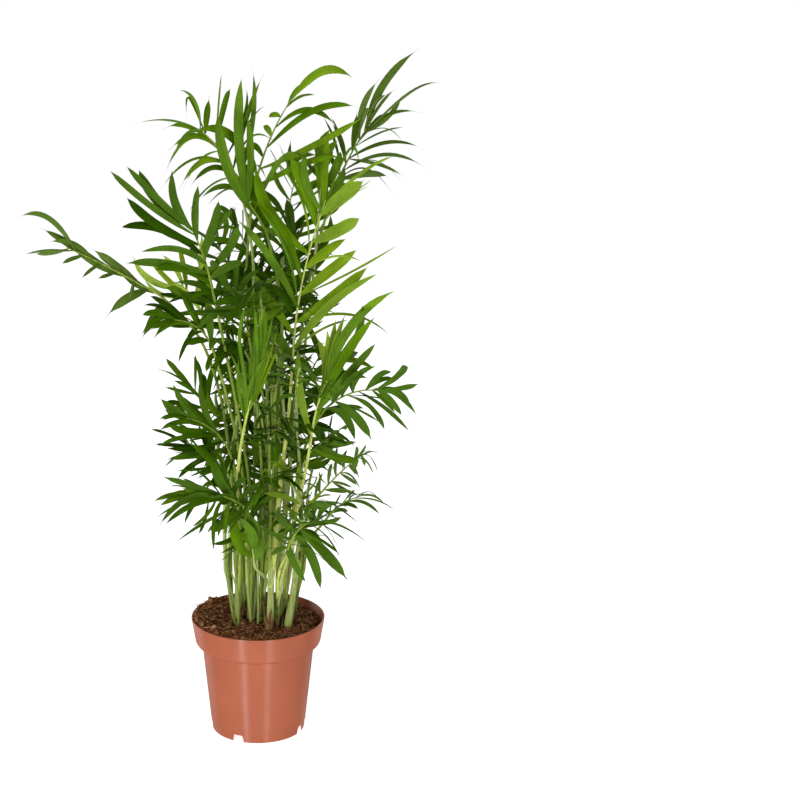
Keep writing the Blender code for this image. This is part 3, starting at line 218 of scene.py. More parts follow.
# Leaflets with their own angle off the rachis, length in mm, droop and width in mm, by their frond: those of
# the left side from the neck on, then those of the right side
OWN_LEAFLETS = {
    1: (
        ((58, 55, 0.6, 9), (21, 57, 0.8, 9), (82, 26, 0.3, 4), (39, 26, 0.15, 4), (49, 31, 0.3, 4),
         (36, 26, 0.2, 4), (1, 51, 0.5, 3.5)),
        ((12, 46, 0.15, 7), (14, 55, 0.15, 8), (15, 65, 0.15, 8), (21, 72, 0.35, 7.5), (5, 43, 0.2, 5),
         (31, 63, 0.5, 5), (-16, 34, 0.25, 4))),
    2: (
        ((49, 58, 0.12, 8), (51, 77, 0.2, 8), (46, 66, 0.15, 7.5), (31, 85, 0.25, 8), (25, 83, 0.1, 8.5),
         (18, 103, 0.12, 6), (14, 90, 0.05, 6)),
        ((58, 33, 0.3, 8), (39, 48, 0.2, 8), (40, 51, 0.1, 8.5), (32, 53, 0.1, 8), (21, 56, 0.05, 7.5),
         (8, 64, 0.05, 8.5), (-11, 73, 0.05, 9))),
    3: (
        ((41, 47, 0.6, 6), (35, 54, 0.7, 6), (26, 65, 1.0, 5.5), (26, 55, 0.5, 5.5), (11, 48, 0.45, 5),
         (36, 40, 0.9, 4.5)),
        ((27, 101, 0.1, 5), (41, 91, 0.2, 5), (44, 66, 0.2, 4), (48, 51, 0.4, 5.5), (51, 34, 0.0, 6),
         (157, 56, 0.35, 9))),
    4: (
        ((42, 37, 0.3, 6), (45, 37, 0.3, 5.5), (51, 19, 0.5, 6), (50, 13, 0.4, 5.5), (107, 12, 0.3, 5),
         (-8, 29, 0.3, 6)),
        ((38, 107, 0.4, 7), (32, 115, 0.3, 6.5), (28, 98, 0.35, 6.5), (36, 66, 0.5, 6), (30, 32, 0.2, 4),
         (9, 66, 0.55, 9))),
    5: (
        ((54, 40, 0.3, 5), (47, 37, 0.25, 5), (43, 40, 0.2, 5), (23, 38, 0.05, 6), (12, 59, 0.05, 6),
         (-9, 48, 0.05, 4.5)),
        ((42, 49, 0.4, 7), (43, 82, 0.4, 4), (34, 70, 0.4, 4), (18, 70, 0.35, 3.6), (2, 94, 0.5, 3.6),
         (1, 86, -0.02, 7.5))),
    6: (
        ((34, 46, 0.1, 9), (34, 70, 0.1, 8), (38, 96, 0.12, 8), (39, 83, 0.08, 9), (43, 88, 0.06, 11.5),
         (38, 68, 0.04, 11), (33, 57, 0.0, 8)),
        ((39, 112, 0.12, 9), (37, 86, 0.15, 10), (36, 69, 0.1, 10), (38, 46, 0.06, 10), (44, 46, 0.06, 12),
         (31, 50, 0.04, 13), (-17, 59, -0.02, 8))),
    8: (
        ((16, 82, 0.05, 8), (5, 82, 0.04, 8), (19, 61, 0.05, 7), (12, 62, 0.03, 7), (10, 58, 0.03, 8)),
        ((17, 112, 0.1, 9), (21, 86, 0.15, 9), (13, 114, 0.12, 8), (7, 76, 0.05, 9), (-1, 67, 0.02, 8))),
    9: (
        ((29, 58, 0.2, 6), (29, 53, 0.15, 6), (37, 52, 0.15, 6), (44, 59, 0.2, 6), (53, 59, 0.3, 6),
         (62, 76, 0.25, 8)),
        ((91, 55, 0.6, 8), (74, 54, 0.55, 9.5), (67, 58, 0.5, 8), (38, 68, 0.6, 6), (12, 51, 0.5, 5.5),
         (8, 34, 0.35, 5))),
    12: (
        ((86, 20, 0.4, 7), (41, 59, 0.1, 5), (31, 101, 0.2, 6), (42, 40, 0.2, 6), (40, 46, 0.2, 6),
         (74, 12, 0.2, 5)),
        ((134, 44, 0.5, 8), (130, 73, 0.5, 9), (96, 70, 0.5, 10), (12, 79, 0.35, 9), (-14, 106, 0.3, 7),
         (-23, 94, 0.3, 7))),
    13: (
        ((44, 54, 0.3, 9), (33, 91, 0.35, 4), (26, 93, 0.2, 5.5), (0, 79, 0.6, 7), (-6, 73, 0.5, 4),
         (-9, 57, 0.15, 5), (-15, 33, 0.1, 5)),
        ((18, 62, 0.1, 9), (20, 82, 0.15, 8), (3, 76, 0.1, 6), (8, 44, 0.1, 5.5), (14, 41, 0.15, 5.5),
         (14, 48, 0.3, 4.5), (23, 40, 0.15, 4.5))),
    15: (
        ((57, 31, 0.3, 6), (40, 66, 0.2, 5.5), (20, 70, 0.5, 4.5), (24, 55, 0.02, 7), (12, 49, 0.35, 5),
         (-9, 36, 0.5, 4), (-16, 26, 0.2, 5)),
        ((10, 74, 0.05, 6), (3, 78, 0.15, 6.5), (8, 58, 0.2, 8), (2, 60, 0.1, 8.5), (19, 45, 0.4, 5),
         (24, 30, 0.5, 4), (11, 30, 0.45, 4))),
    16: (
        ((105, 22, 0.4, 6), (29, 30, 0.5, 7), (39, 48, 0.9, 4.5), (-5, 55, 0.8, 7), (-8, 48, 0.6, 6),
         (-1, 30, 0.4, 6)),
        ((18, 42, 0.2, 7), (12, 52, 0.25, 7), (16, 58, 0.3, 7), (24, 52, 0.35, 7), (31, 38, 0.35, 6),
         (21, 36, 0.35, 6))),
    20: (
        ((8, 82, -0.35, 15), (-11, 106, 0.05, 10), (-34, 110, -0.05, 9)),
        ((138, 28, 0.1, 10), (52, 88, 0.6, 5), (36, 85, 0.05, 7))),
    21: (
        ((19, 58, 0.05, 7), (8, 66, 0.02, 8), (8, 42, 0.05, 7), (-6, 49, 0.0, 8), (-1, 34, 0.0, 7)),
        ((30, 44, 0.2, 7), (24, 45, 0.1, 8), (21, 42, 0.05, 8), (20, 36, 0.02, 7), (17, 22, 0.0, 7))),
    7: (
        ((28, 72, 0.0, 6), (22, 82, 0.0, 6), (15, 95, 0.0, 6.5), (12, 98, 0.0, 6.5), (15, 87, 0.0, 6)),
        ((11, 88, 0.02, 6), (6, 85, 0.0, 6.5), (1, 89, 0.0, 7), (-4, 87, 0.0, 6.5), (-8, 88, 0.0, 6.5))),
    10: (
        ((31, 28, 0.2, 3.5), (33, 27, 0.2, 3.5), (42, 36, 0.2, 3.5), (40, 27, 0.2, 3.5), (44, 26, 0.2, 3.5),
         (48, 22, 0.2, 3.5), (24, 12, 0.3, 3.5)),
        ((34, 16, 0.3, 3.5), (44, 24, 0.35, 3.5), (54, 24, 0.4, 3.5), (72, 26, 0.4, 3.5), (82, 14, 0.5, 4),
         (153, 14, 0.5, 6), (106, 12, 0.5, 3.5))),
    11: (
        ((40, 26, 0.2, 4), (51, 40, 0.2, 4), (42, 27, 0.2, 4), (49, 31, 0.3, 4), (61, 49, 0.4, 3)),
        ((41, 19, 0.3, 4), (41, 23, 0.3, 4), (33, 42, 0.5, 3.5), (18, 46, 0.45, 3), (10, 28, 0.4, 3))),
}

# Plain base colours of the leaflets: three shades of each tone, dealt out by leaflet, and the underside
LEAF_SHADES = {
    "dark": ((0.029, 0.078, 0.001), (0.052, 0.127, 0.002), (0.095, 0.195, 0.006), (0.066, 0.14, 0.01)),
    # The pale tone is partly painted light: the stronger light and gloss on the outer fronds, put into their
    # colour along with their own greyer green
    "pale": ((0.062, 0.122, 0.008), (0.09, 0.16, 0.02), (0.125, 0.196, 0.036), (0.095, 0.165, 0.024)),
    "mid": ((0.075, 0.165, 0.002), (0.12, 0.24, 0.004), (0.175, 0.31, 0.01), (0.105, 0.21, 0.013)),
    "bright": ((0.12, 0.22, 0.004), (0.19, 0.315, 0.01), (0.275, 0.41, 0.028), (0.2, 0.32, 0.025)),
    "yellow": ((0.29, 0.42, 0.02), (0.36, 0.48, 0.035), (0.43, 0.54, 0.06), (0.33, 0.46, 0.06)),
}
DRY_TIP = (0.23, 0.19, 0.11)
BLACK, WHITE = (0, 0, 0), (1, 1, 1)
POT_COLOUR, POT_DUST, POT_DIRT = (0.45, 0.118, 0.054), (0.2, 0.075, 0.04), (0.1, 0.04, 0.018)

# Fronds in a paler, greyer tone, partly their own greyer colour and partly painted light, the stronger light
# and gloss these outer fronds catch; and the share of a frond's leaflets that have a dry tip
PALE_FRONDS = (1, 5, 10)
DRY_TIPS = {1: 0.5, 3: 0.4, 5: 0.5, 10: 0.4, 12: 0.3}
DRY_SHARE, DRY_FROM = 0.08, 0.86

# How far a frond's leaflets end in a long thin tail, from 0, blunt, to 1; the rest share one value
TAILS = {1: 0.85, 2: 0.15, 3: 0.8, 4: 0.5, 5: 0.8, 6: 0.4, 7: 0.75, 8: 0.45, 12: 0.3, 17: 0.2, 20: 0.3,
         21: 0.1}
COMMON_TAIL = 0.55

# Fronds whose leaflets have another tone at one side: the side, -1 at the left, and the tone
SIDE_TONES = {6: (-1, "mid"), 8: (1, "mid")}

# Fronds whose leaflets are bundles of slimmer ones: how many, and how far the last closes to the rachis
BUNDLES = {7: (3, 0.9)}

# Width in mm and droop of the arching leaflets that a frond has besides its listed ones
BESIDES = {3: (2.8, 0.5), 5: (2.8, 0.5), 6: (2.6, 0.35), 9: (4.6, 0.45), 10: (2.4, 0.9), 12: (3.4, 0.5),
           13: (3.6, 0.5)}

# Stems that are pale, and fronds whose petioles are yellow, with how much thicker their foot is
PALE_STEMS = (1, 5, 7)
STOUT = {6: 1.7, 7: 1.5, 8: 1.5}

# Edges sharper than this angle in degrees stay sharp
POT_SHARP, FLAT_SHARP, ALL_SMOOTH = 40, 60, 180


def unit(vector):
    return vector / np.linalg.norm(vector)


def turned(vector, axis, degrees):
    """The vector turned about a unit axis."""
    angle = radians(degrees)
    along = axis * axis.dot(vector)
    return along + (vector - along) * cos(angle) + np.cross(axis, vector) * sin(angle)


# Materials


class Finish:
    """A material under construction: its Principled shader and shorthands for its nodes."""

    def __init__(self, name, colour, roughness, specular):
        self.material = bpy.data.materials.new(name)
        self.material.use_nodes = True
        self.nodes, self.links = self.material.node_tree.nodes, self.material.node_tree.links
        self.shader = self.nodes["Principled BSDF"]
        self.shade({"Base Color": colour, "Roughness": roughness, "Specular IOR Level": specular})

    def set(self, node, inputs):
        """Links each input to an output or sets it to a value, and gives the node back."""
        for socket, given in inputs.items():
            if isinstance(given, bpy.types.NodeSocket):
                self.links.new(given, node.inputs[socket])
            elif node.inputs[socket].type == "RGBA":
                node.inputs[socket].default_value = (*given, 1.0)
            else:
                node.inputs[socket].default_value = given
        return node

    def node(self, kind, inputs):
        return self.set(self.nodes.new(kind), inputs)

    def shade(self, inputs):
        self.set(self.shader, inputs)

    def place(self, stretch=(1.0, 1.0, 1.0), kind="Object"):
        """Texture coordinates of one kind, stretched."""
        source = self.nodes.new("ShaderNodeTexCoord").outputs[kind]
        return self.node("ShaderNodeMapping", {"Vector": source, "Scale": stretch}).outputs["Vector"]

    def noise(self, scale, detail, rough=0.5, stretch=(1.0, 1.0, 1.0), kind="Object"):
        inputs = {"Vector": self.place(stretch, kind), "Scale": scale, "Detail": detail, "Roughness": rough}
        return self.node("ShaderNodeTexNoise", inputs).outputs["Fac"]

    def ramp(self, value, start, low, end, high):
        """A colour that runs from one at the start value to another at the end value."""
        made = self.node("ShaderNodeValToRGB", {"Fac": value})
        for slot, position, colour in zip(made.color_ramp.elements, (start, end), (low, high)):
            slot.position = position
            slot.color = (*colour, 1.0)
        return made.outputs["Color"]

    def levels(self, value, low, high):
        """The value spread from low to high."""
        inputs = {"Value": value, "From Min": 0.3, "From Max": 0.7, "To Min": low, "To Max": high}
        return self.node("ShaderNodeMapRange", inputs).outputs["Result"]

    def blend(self, mode, factor, first, second):
        """Two colours mixed; a factor or a colour is a value or an output."""
        made = self.nodes.new("ShaderNodeMix")
        made.data_type, made.blend_type = "RGBA", mode
        return self.set(made, {0: factor, 6: first, 7: second}).outputs[2]

    def bump(self, height, strength, distance):
        """One more layer of bumps, on those that are there."""
        made = self.node("ShaderNodeBump", {"Height": height, "Strength": strength, "Distance": distance})
        for link in self.shader.inputs["Normal"].links:
            self.set(made, {"Normal": link.from_socket})
        self.shade({"Normal": made.outputs["Normal"]})


def shaded(colour, factor):
    return tuple(min(1.0, part * factor) for part in colour)


def leaf_finish(name, colour, roughness=0.33, specular=0.09):
    """Leaf: faint parallel veins, soft patches of light and dark, and a satin gloss that varies."""
    made = Finish(name, colour, roughness, specular)
    veins = made.noise(1.0, 2.0, 0.5, (7.0, 0.7, 1.0), "UV")
    patches = made.noise(55.0, 3.0)
    tint = made.ramp(patches, 0.3, shaded(colour, 0.82), 0.7, shaded(colour, 1.2))
    lines = made.ramp(veins, 0.32, (0.62, 0.7, 0.5), 0.6, WHITE)
    gloss = made.levels(patches, roughness - 0.06, roughness + 0.1)
    made.shade({"Base Color": made.blend("MULTIPLY", 0.6, tint, lines), "Roughness": gloss,
                "Specular Tint": (0.7, 1.0, 0.2)})
    made.bump(veins, 0.35, 0.25 * MM)
    return made.material


def dry_finish():
    """The dry tip of a leaflet: pale brown with streaks."""
    made = Finish("leaf_dry", DRY_TIP, 0.8, 0.2)
    streaks = made.noise(1.5, 4.0, 0.5, (14.0, 6.0, 1.0), "UV")
    made.shade({"Base Color": made.ramp(streaks, 0.3, shaded(DRY_TIP, 0.6), 0.7, shaded(DRY_TIP, 1.3))})
    made.bump(streaks, 0.5, 0.2 * MM)
    return made.material


def stem_finish(name, low, high, fleck):
    """Green stem: lengthwise streaks between two colours, with a few dark flecks."""
    made = Finish(name, low, 0.45, 0.4)
    streaks = made.noise(420.0, 3.0, 0.6, (1.0, 1.0, 0.05))
    skin = made.ramp(streaks, 0.32, low, 0.68, high)
    spots = made.ramp(made.noise(260.0, 2.0, 0.5, (1.0, 1.0, 0.35)), 0.62, BLACK, 0.71, WHITE)
    made.shade({"Base Color": made.blend("MIX", spots, skin, fleck),
                "Roughness": made.levels(streaks, 0.36, 0.55)})
    made.bump(streaks, 0.4, 0.25 * MM)
    return made.material


def sheath_finish(name, low, high):
    """Papery sheath: brown fibres that run up it."""
    made = Finish(name, low, 0.85, 0.2)
    fibres = made.noise(620.0, 4.0, 0.7, (1.0, 1.0, 0.08))
    skin = made.ramp(fibres, 0.35, low, 0.65, high)
    patches = made.ramp(made.noise(210.0, 3.0, 0.5, (1.0, 1.0, 0.6)), 0.4, (0.3, 0.22, 0.16), 0.58, WHITE)
    made.shade({"Base Color": made.blend("MULTIPLY", 0.85, skin, patches)})
    made.bump(fibres, 0.8, 0.3 * MM)
    return made.material


def pot_finish():
    """Satin terracotta-coloured plastic with a fine grain, faint clouding, dust and fine turning lines."""
    made = Finish("pot_plastic", POT_COLOUR, 0.36, 0.9)
    clouds = made.noise(32.0, 4.0, 0.5, (1.0, 1.0, 0.6))
    body = made.ramp(clouds, 0.3, shaded(POT_COLOUR, 0.93), 0.7, shaded(POT_COLOUR, 1.06))
    specks = made.ramp(made.noise(170.0, 5.0, 0.7), 0.7, BLACK, 0.76, (0.6, 0.6, 0.6))
    crumbs = made.ramp(made.noise(420.0, 4.0, 0.6), 0.6, BLACK, 0.68, (0.8, 0.8, 0.8))
    height = made.node("ShaderNodeSeparateXYZ", {"Vector": made.place((1.0, 1.0, 1.0 / POT_HEIGHT))})
    low = made.ramp(height.outputs["Z"], 0.0, WHITE, 0.13, BLACK)
    body = made.blend("MIX", specks, body, POT_DUST)
    body = made.blend("MIX", made.blend("MULTIPLY", 1.0, crumbs, low), body, POT_DIRT)
    tangent = made.nodes.new("ShaderNodeTangent")
    tangent.direction_type, tangent.axis = "RADIAL", "Z"
    made.shade({"Base Color": body, "Roughness": made.levels(clouds, 0.33, 0.39), "Anisotropic": 1.0,
                "Anisotropic Rotation": 0.25, "Tangent": tangent.outputs["Tangent"]})
    made.bump(made.noise(900.0, 2.0), 0.12, 0.05 * MM)
    made.bump(made.noise(700.0, 2.0, 0.5, (0.02, 0.02, 1.0)), 0.15, 0.05 * MM)
    return made.material


def soil_finish(name, low, high, scale=260.0):
    """Moist coir and peat: dark grains with lighter crumbs."""
    made = Finish(name, low, 0.95, 0.15)
    grains = made.noise(scale, 6.0, 0.75)
    made.shade({"Base Color": made.ramp(grains, 0.35, low, 0.62, high)})
    made.bump(grains, 0.9, 1.2 * MM)
    return made.material


def floor_finish():
    """A floor that looks as white as the background."""
    made = Finish("pale_floor", (0.9, 0.9, 0.9), 0.9, 0.1)
    grain = made.ramp(made.noise(6.0, 2.0), 0.3, (0.9, 0.9, 0.9), 0.7, (0.92, 0.92, 0.92))
    made.shade({"Base Color": grain, "Emission Color": WHITE, "Emission Strength": 0.8})
    return made.material


# Joined pieces


def dealt(draw, *weights):
    """The number of one material, drawn by their weights."""
    return draw.choices(range(len(weights)), weights)[0]


def added(name, data):
    """A new object in the scene."""
    made = bpy.data.objects.new(name, data)
    bpy.context.scene.collection.objects.link(made)
    return made


def mesh_of(name, work):
    """What the bmesh holds as a mesh; the bmesh is freed."""
    mesh = bpy.data.meshes.new(name)
    work.to_mesh(mesh)
    work.free()
    return mesh


class Sheaf:
    """Points, faces, UVs and material numbers of many small shapes, joined into one piece."""

    def __init__(self, name, materials=()):
        self.name, self.materials = name, list(materials)
        self.points, self.uvs, self.faces, self.numbers = [], [], [], []
        self.count = 0

    def number(self, material):
        """The material's number, which it gets when it is first used."""
        if material not in self.materials:
            self.materials.append(material)
        return self.materials.index(material)

    def add(self, points, faces, numbers, uvs=None):
        """One shape; numbers is a material number for each face, or one for all."""
        points = np.asarray(points, float).reshape(-1, 3)
        self.points.append(points)
        self.uvs.append(np.zeros((len(points), 2)) if uvs is None else np.asarray(uvs, float))
        self.faces += [tuple(corner + self.count for corner in face) for face in faces]
        self.numbers += [numbers] * len(faces) if isinstance(numbers, int) else list(numbers)
        self.count += len(points)

    def piece(self, slot, nodes, sharp):
        """The joined mesh as a piece that rides on the body and stands for the CAD nodes."""
        mesh = bpy.data.meshes.new(self.name)
        mesh.from_pydata(np.concatenate(self.points).tolist(), [], self.faces)
        for material in self.materials:
            mesh.materials.append(material)
        mesh.polygons.foreach_set("material_index", self.numbers)
        work = bmesh.new()
        work.from_mesh(mesh)
        bmesh.ops.recalc_face_normals(work, faces=work.faces)
        work.to_mesh(mesh)
        work.free()
        corners = np.empty(len(mesh.loops), np.int32)
        mesh.loops.foreach_get("vertex_index", corners)
        layer = mesh.uv_layers.new(name="UVMap")
        layer.data.foreach_set("uv", np.concatenate(self.uvs)[corners].ravel())
        mesh.shade_smooth()
        mesh.set_sharp_from_angle(angle=radians(sharp))
        made = added(self.name, mesh)
        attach(made, "root")
        if nodes:
            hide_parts(*nodes)
        return made


def joined(rings):
    """The faces between closed rings of corners; a ring may be a single corner."""
    faces = []
    for low, high in zip(rings, rings[1:]):
        for number in range(max(len(low), len(high))):
            after = number + 1
            faces.append(tuple(dict.fromkeys((low[number % len(low)], low[after % len(low)],
                                              high[after % len(high)], high[number % len(high)]))))
    return faces


def tube(path, radii, sides, squash=1.0, level_steps=()):
    """Points, faces and UVs of a closed tube; its section may be flattened, or level at some steps."""
    path = np.asarray(path)
    side_way = None
    points, uvs = [], []
    for step, centre in enumerate(path):
        along = unit(path[min(step + 1, len(path) - 1)] - path[max(step - 1, 0)])
        along = UP if step in level_steps else along
        if side_way is None:
            side_way = unit(np.cross(along, FRONT))
        side_way = unit(side_way - along * along.dot(side_way))
        other = np.cross(along, side_way) * squash
        for number in range(sides):
            angle = 2 * pi * number / sides
            points.append(centre + radii[step] * (side_way * cos(angle) + other * sin(angle)))
            uvs.append((number / sides, step / len(path)))
    rings = [range(step * sides, (step + 1) * sides) for step in range(len(path))]
    return points, joined(rings) + [tuple(reversed(rings[0])), tuple(rings[-1])], uvs


def smooth_line(points, spots):
    """Points on the smooth curve through the given ones, at places counted in points."""
    padded = np.concatenate(([2 * points[0] - points[1]], points, [2 * points[-1] - points[-2]]))
    line = []
    for spot in spots:
        step = min(int(spot), len(points) - 2)
        share = spot - step
        a, b, c, d = padded[step:step + 4]
        line.append(0.5 * (2 * b + (c - a) * share + (2 * a - 5 * b + 4 * c - d) * share ** 2
                           + (3 * b - a - 3 * c + d) * share ** 3))
    return np.array(line)


# Pot


def body_radius(height):
    """Outer radius of the pot's tapering body below the collar."""
    return BASE_RADIUS + (BODY_TOP_RADIUS - BASE_RADIUS) * height / COLLAR_BOTTOM


def inner_radius(height):
    """Inner radius of the pot, which steps out inside the collar."""
    if height <= COLLAR_BOTTOM:
        return body_radius(height) - WALL
    share = (height - COLLAR_BOTTOM) / (POT_HEIGHT - COLLAR_BOTTOM)
    return COLLAR_LOW_RADIUS + (RIM_RADIUS - COLLAR_LOW_RADIUS) * share - WALL


def rounded(corners):
    """A profile from (radius, height, rounding) corners, each rounding as a small curve."""
    profile = []
    for number, (radius, height, rounding) in enumerate(corners):
        here = np.array((radius, height))
        if rounding == 0:
            profile.append(here)
            continue
        before, after = np.array(corners[number - 1][:2]), np.array(corners[number + 1][:2])
        first = here + unit(before - here) * min(rounding, np.linalg.norm(before - here) * 0.45)
        last = here + unit(after - here) * min(rounding, np.linalg.norm(after - here) * 0.45)
        for share in np.linspace(0, 1, CORNER_STEPS + 1):
            profile.append(first * (1 - share) ** 2 + here * 2 * share * (1 - share) + last * share ** 2)
    return profile


def pot_profile():
    """From the middle of the underside, up the outside and down the inside to the middle of the floor."""
    floor_top = FOOT_HEIGHT + FLOOR_THICK
    line_low, line_high = FOOT_HEIGHT + 0.2 * MM, FOOT_HEIGHT + 0.8 * MM
    return rounded([
        (0, 0, 0), (PAD_RADIUS, 0, 0.6 * MM), (PAD_RADIUS + PAD_SLOPE, FOOT_HEIGHT, 0.8 * MM),
        (body_radius(FOOT_HEIGHT) - WALL, FOOT_HEIGHT, 0.5 * MM), (BASE_RADIUS - WALL, 0, 0.4 * MM),
        (BASE_RADIUS - FOOT_SETBACK, 0, 0.5 * MM),
        (body_radius(line_low) - FOOT_SETBACK, line_low, 0.15 * MM),
        (body_radius(line_high), line_high, 0.25 * MM),
        (body_radius(COLLAR_BOTTOM - COLLAR_SLANT), COLLAR_BOTTOM - COLLAR_SLANT, 0.9 * MM),
        (COLLAR_LOW_RADIUS, COLLAR_BOTTOM + 0.6 * MM, 2.4 * MM),
        (RIM_RADIUS, POT_HEIGHT, 0.55 * MM), (RIM_RADIUS - WALL, POT_HEIGHT, 0.55 * MM),
        (inner_radius(COLLAR_BOTTOM + 2 * MM), COLLAR_BOTTOM + 2 * MM, 1.2 * MM),
        (inner_radius(COLLAR_BOTTOM), COLLAR_BOTTOM, 0.8 * MM),
        (inner_radius(floor_top), floor_top, 0.8 * MM), (PAD_RADIUS + PAD_SLOPE, floor_top, 0.8 * MM),
        (PAD_RADIUS, FLOOR_THICK, 0.6 * MM), (0, FLOOR_THICK, 0),
    ])


def build_pot():
    """The turned shell with its drainage notches."""
    profile = pot_profile()
    points, uvs, rings = [], [], []
    for row, (radius, height) in enumerate(profile):
        segments = POT_SEGMENTS if radius > 0 else 1
        rings.append(range(len(points), len(points) + segments))
        for segment in range(segments):
            angle = 2 * pi * segment / POT_SEGMENTS
            points.append((radius * cos(angle), radius * sin(angle), height))
            uvs.append((segment / POT_SEGMENTS, row / len(profile)))
    shell = Sheaf("pot_shell", [pot_finish()])
    shell.add(points, joined(rings), 0, uvs)
    pot = shell.piece("pot", ["pot"], POT_SHARP)
    for number in range(NOTCHES):
        cut_notch(pot, radians(FIRST_NOTCH + 360 / NOTCHES * number))
    pot.data.shade_smooth()
    pot.data.set_sharp_from_angle(angle=radians(POT_SHARP))


def cut_notch(pot, angle):
    """Cuts one drainage notch through the foot ring: wider at the ground, with rounded upper corners."""
    out = Vector((cos(angle), sin(angle), 0))
    side = Vector((-out.y, out.x, 0))
    top = FOOT_HEIGHT - 0.4 * MM
    outline = [(0.56, -1 * MM), (0.46, top - 1.2 * MM), (0.43, top - 0.35 * MM), (0.36, top)]
    outline = outline + [(-width, height) for width, height in reversed(outline)]
    work = bmesh.new()
    rings = []
    for reach in (BASE_RADIUS - 4 * WALL, BASE_RADIUS + 4 * WALL):
        rings.append([work.verts.new(out * reach + side * NOTCH_WIDTH * width + Vector((0, 0, height)))
                      for width, height in outline])
    for face in joined(rings) + rings:
        work.faces.new(face)
    bmesh.ops.recalc_face_normals(work, faces=work.faces)
    cutter = added("notch_cutter", mesh_of("notch_cutter", work))
    change = pot.modifiers.new("notch", "BOOLEAN")
    change.operation = "DIFFERENCE"
    change.object = cutter
    graph = bpy.context.evaluated_depsgraph_get()
    pot.data = bpy.data.meshes.new_from_object(pot.evaluated_get(graph))
    pot.modifiers.clear()
    bpy.data.objects.remove(cutter)


# Soil


def soil_height(x, y):
    """Height of the solid's surface, a low dome that leans to the right and the back."""
    dome = SOIL_DOME * (1 - (x * x + y * y) / RIM_RADIUS ** 2)
    return SOIL_LEVEL - SOIL_TILT * x / RIM_RADIUS - SOIL_BACK * y / RIM_RADIUS + dome


def soil_surface(x, y):
    """The dome with its mound, lumps, grains, clod and crack."""
    place = Vector((x, y, 0))
    reach = hypot(x, y) / RIM_RADIUS
    mound = MOUND_HEIGHT * max(0.0, (MOUND_WAY[0] * x + MOUND_WAY[1] * y) / RIM_RADIUS) ** MOUND_POWER
    front = FRONT_RISE * max(0.0, -y / RIM_RADIUS) ** 2
    edge = EDGE_DROP * max(0.0, (reach - EDGE_FROM) / EDGE_WIDTH) ** 2
    lumps = LUMP_HEIGHT * noise.fractal(place * LUMP_SCALE, 0.9, 2.0, 4)
    grains = GRAIN_HEIGHT * noise.turbulence(place * GRAIN_SCALE, 3, False)
    off = hypot(x - CRACK_PLACE[0], y - CRACK_PLACE[1]) / CRACK_RADIUS
    crack = CRACK_DEPTH * max(0.0, 1 - off ** 2)
    away = hypot(x - CLOD_PLACE[0], y - CLOD_PLACE[1]) / CLOD_RADIUS
    clod = CLOD_HEIGHT * exp(-away ** 2)
    return soil_height(x, y) + mound + front + lumps + grains + clod - crack - edge


def build_soil():
    """The fine surface with a closed body under it, then its crumbs and fibres."""
    floor = COLLAR_BOTTOM + 4 * MM
    radius = inner_radius(SOIL_LEVEL) - CLEAR
    points = [(0, 0, soil_surface(0, 0))]
    for ring in range(1, SOIL_RINGS + 1):
        reach = radius * ring / SOIL_RINGS
        for segment in range(SOIL_SEGMENTS):
            angle = 2 * pi * segment / SOIL_SEGMENTS
            x, y = reach * cos(angle), reach * sin(angle)
            points.append((x, y, soil_surface(x, y)))
    low_radius = inner_radius(floor) - CLEAR
    for segment in range(SOIL_SEGMENTS):
        angle = 2 * pi * segment / SOIL_SEGMENTS
        points.append((low_radius * cos(angle), low_radius * sin(angle), floor))
    faces = []
    for segment in range(SOIL_SEGMENTS):
        after = (segment + 1) % SOIL_SEGMENTS
        faces.append((0, 1 + segment, 1 + after))
        for ring in range(SOIL_RINGS):
            low, high = 1 + ring * SOIL_SEGMENTS, 1 + (ring + 1) * SOIL_SEGMENTS
            faces.append((low + segment, high + segment, high + after, low + after))
    last = 1 + SOIL_RINGS * SOIL_SEGMENTS
    faces.append(tuple(range(last, last + SOIL_SEGMENTS)))
    bed = Sheaf("soil_bed", [soil_finish("soil_bed", (0.038, 0.012, 0.002), (0.34, 0.125, 0.042))])
    bed.add(points, faces, 0)
    bed.piece("soil", ["soil"], FLAT_SHARP)
    build_crumbs(radius)
    build_fibres(radius)


def soil_spot(draw, radius):
    """A place on the soil, spread evenly."""
    angle = draw.uniform(0, 2 * pi)
    reach = radius * sqrt(draw.random())
    return reach * cos(angle), reach * sin(angle)


def build_crumbs(radius):
    """Small clods of three browns on the soil."""
    draw = random.Random(11)
    base = bmesh.new()
    bmesh.ops.create_icosphere(base, subdivisions=1, radius=1.0)
    ball = np.array([vertex.co for vertex in base.verts])
    faces = [tuple(vertex.index for vertex in face.verts) for face in base.faces]
    base.free()
    crumbs = Sheaf("soil_crumbs", [
        soil_finish("crumb_dark", (0.028, 0.009, 0.002), (0.165, 0.055, 0.016), 500.0),
        soil_finish("crumb_brown", (0.085, 0.03, 0.008), (0.36, 0.138, 0.048), 500.0),
        soil_finish("crumb_light", (0.22, 0.09, 0.034), (0.56, 0.27, 0.13), 500.0)])
    for number in range(CRUMBS):
        size = CRUMB_SIZE + CRUMB_RANGE * draw.random() ** 3
        x, y = soil_spot(draw, radius - size)
        if number % RIM_CRUMBS == 0:
            heading = pi + draw.uniform(-1.0, 0.8)
            reach = (radius - size) * draw.uniform(0.88, 1.0)
            x, y = reach * cos(heading), reach * sin(heading)
        stretch = np.array([draw.uniform(0.6, 1.3) for _ in range(3)])
        dents = np.array([draw.uniform(0.7, 1.25) for _ in ball])[:, None]
        angle, axis = draw.uniform(0, 6.3), Vector([draw.uniform(-1, 1) for _ in range(3)])
        spin = np.array(Matrix.Rotation(angle, 3, axis))
        points = (ball * dents * stretch * size) @ spin + (x, y, soil_surface(x, y) + size * 0.25)
        crumbs.add(points, faces, dealt(draw, 5, 4, 1.3))
    crumbs.piece("soil", [], ALL_SMOOTH)


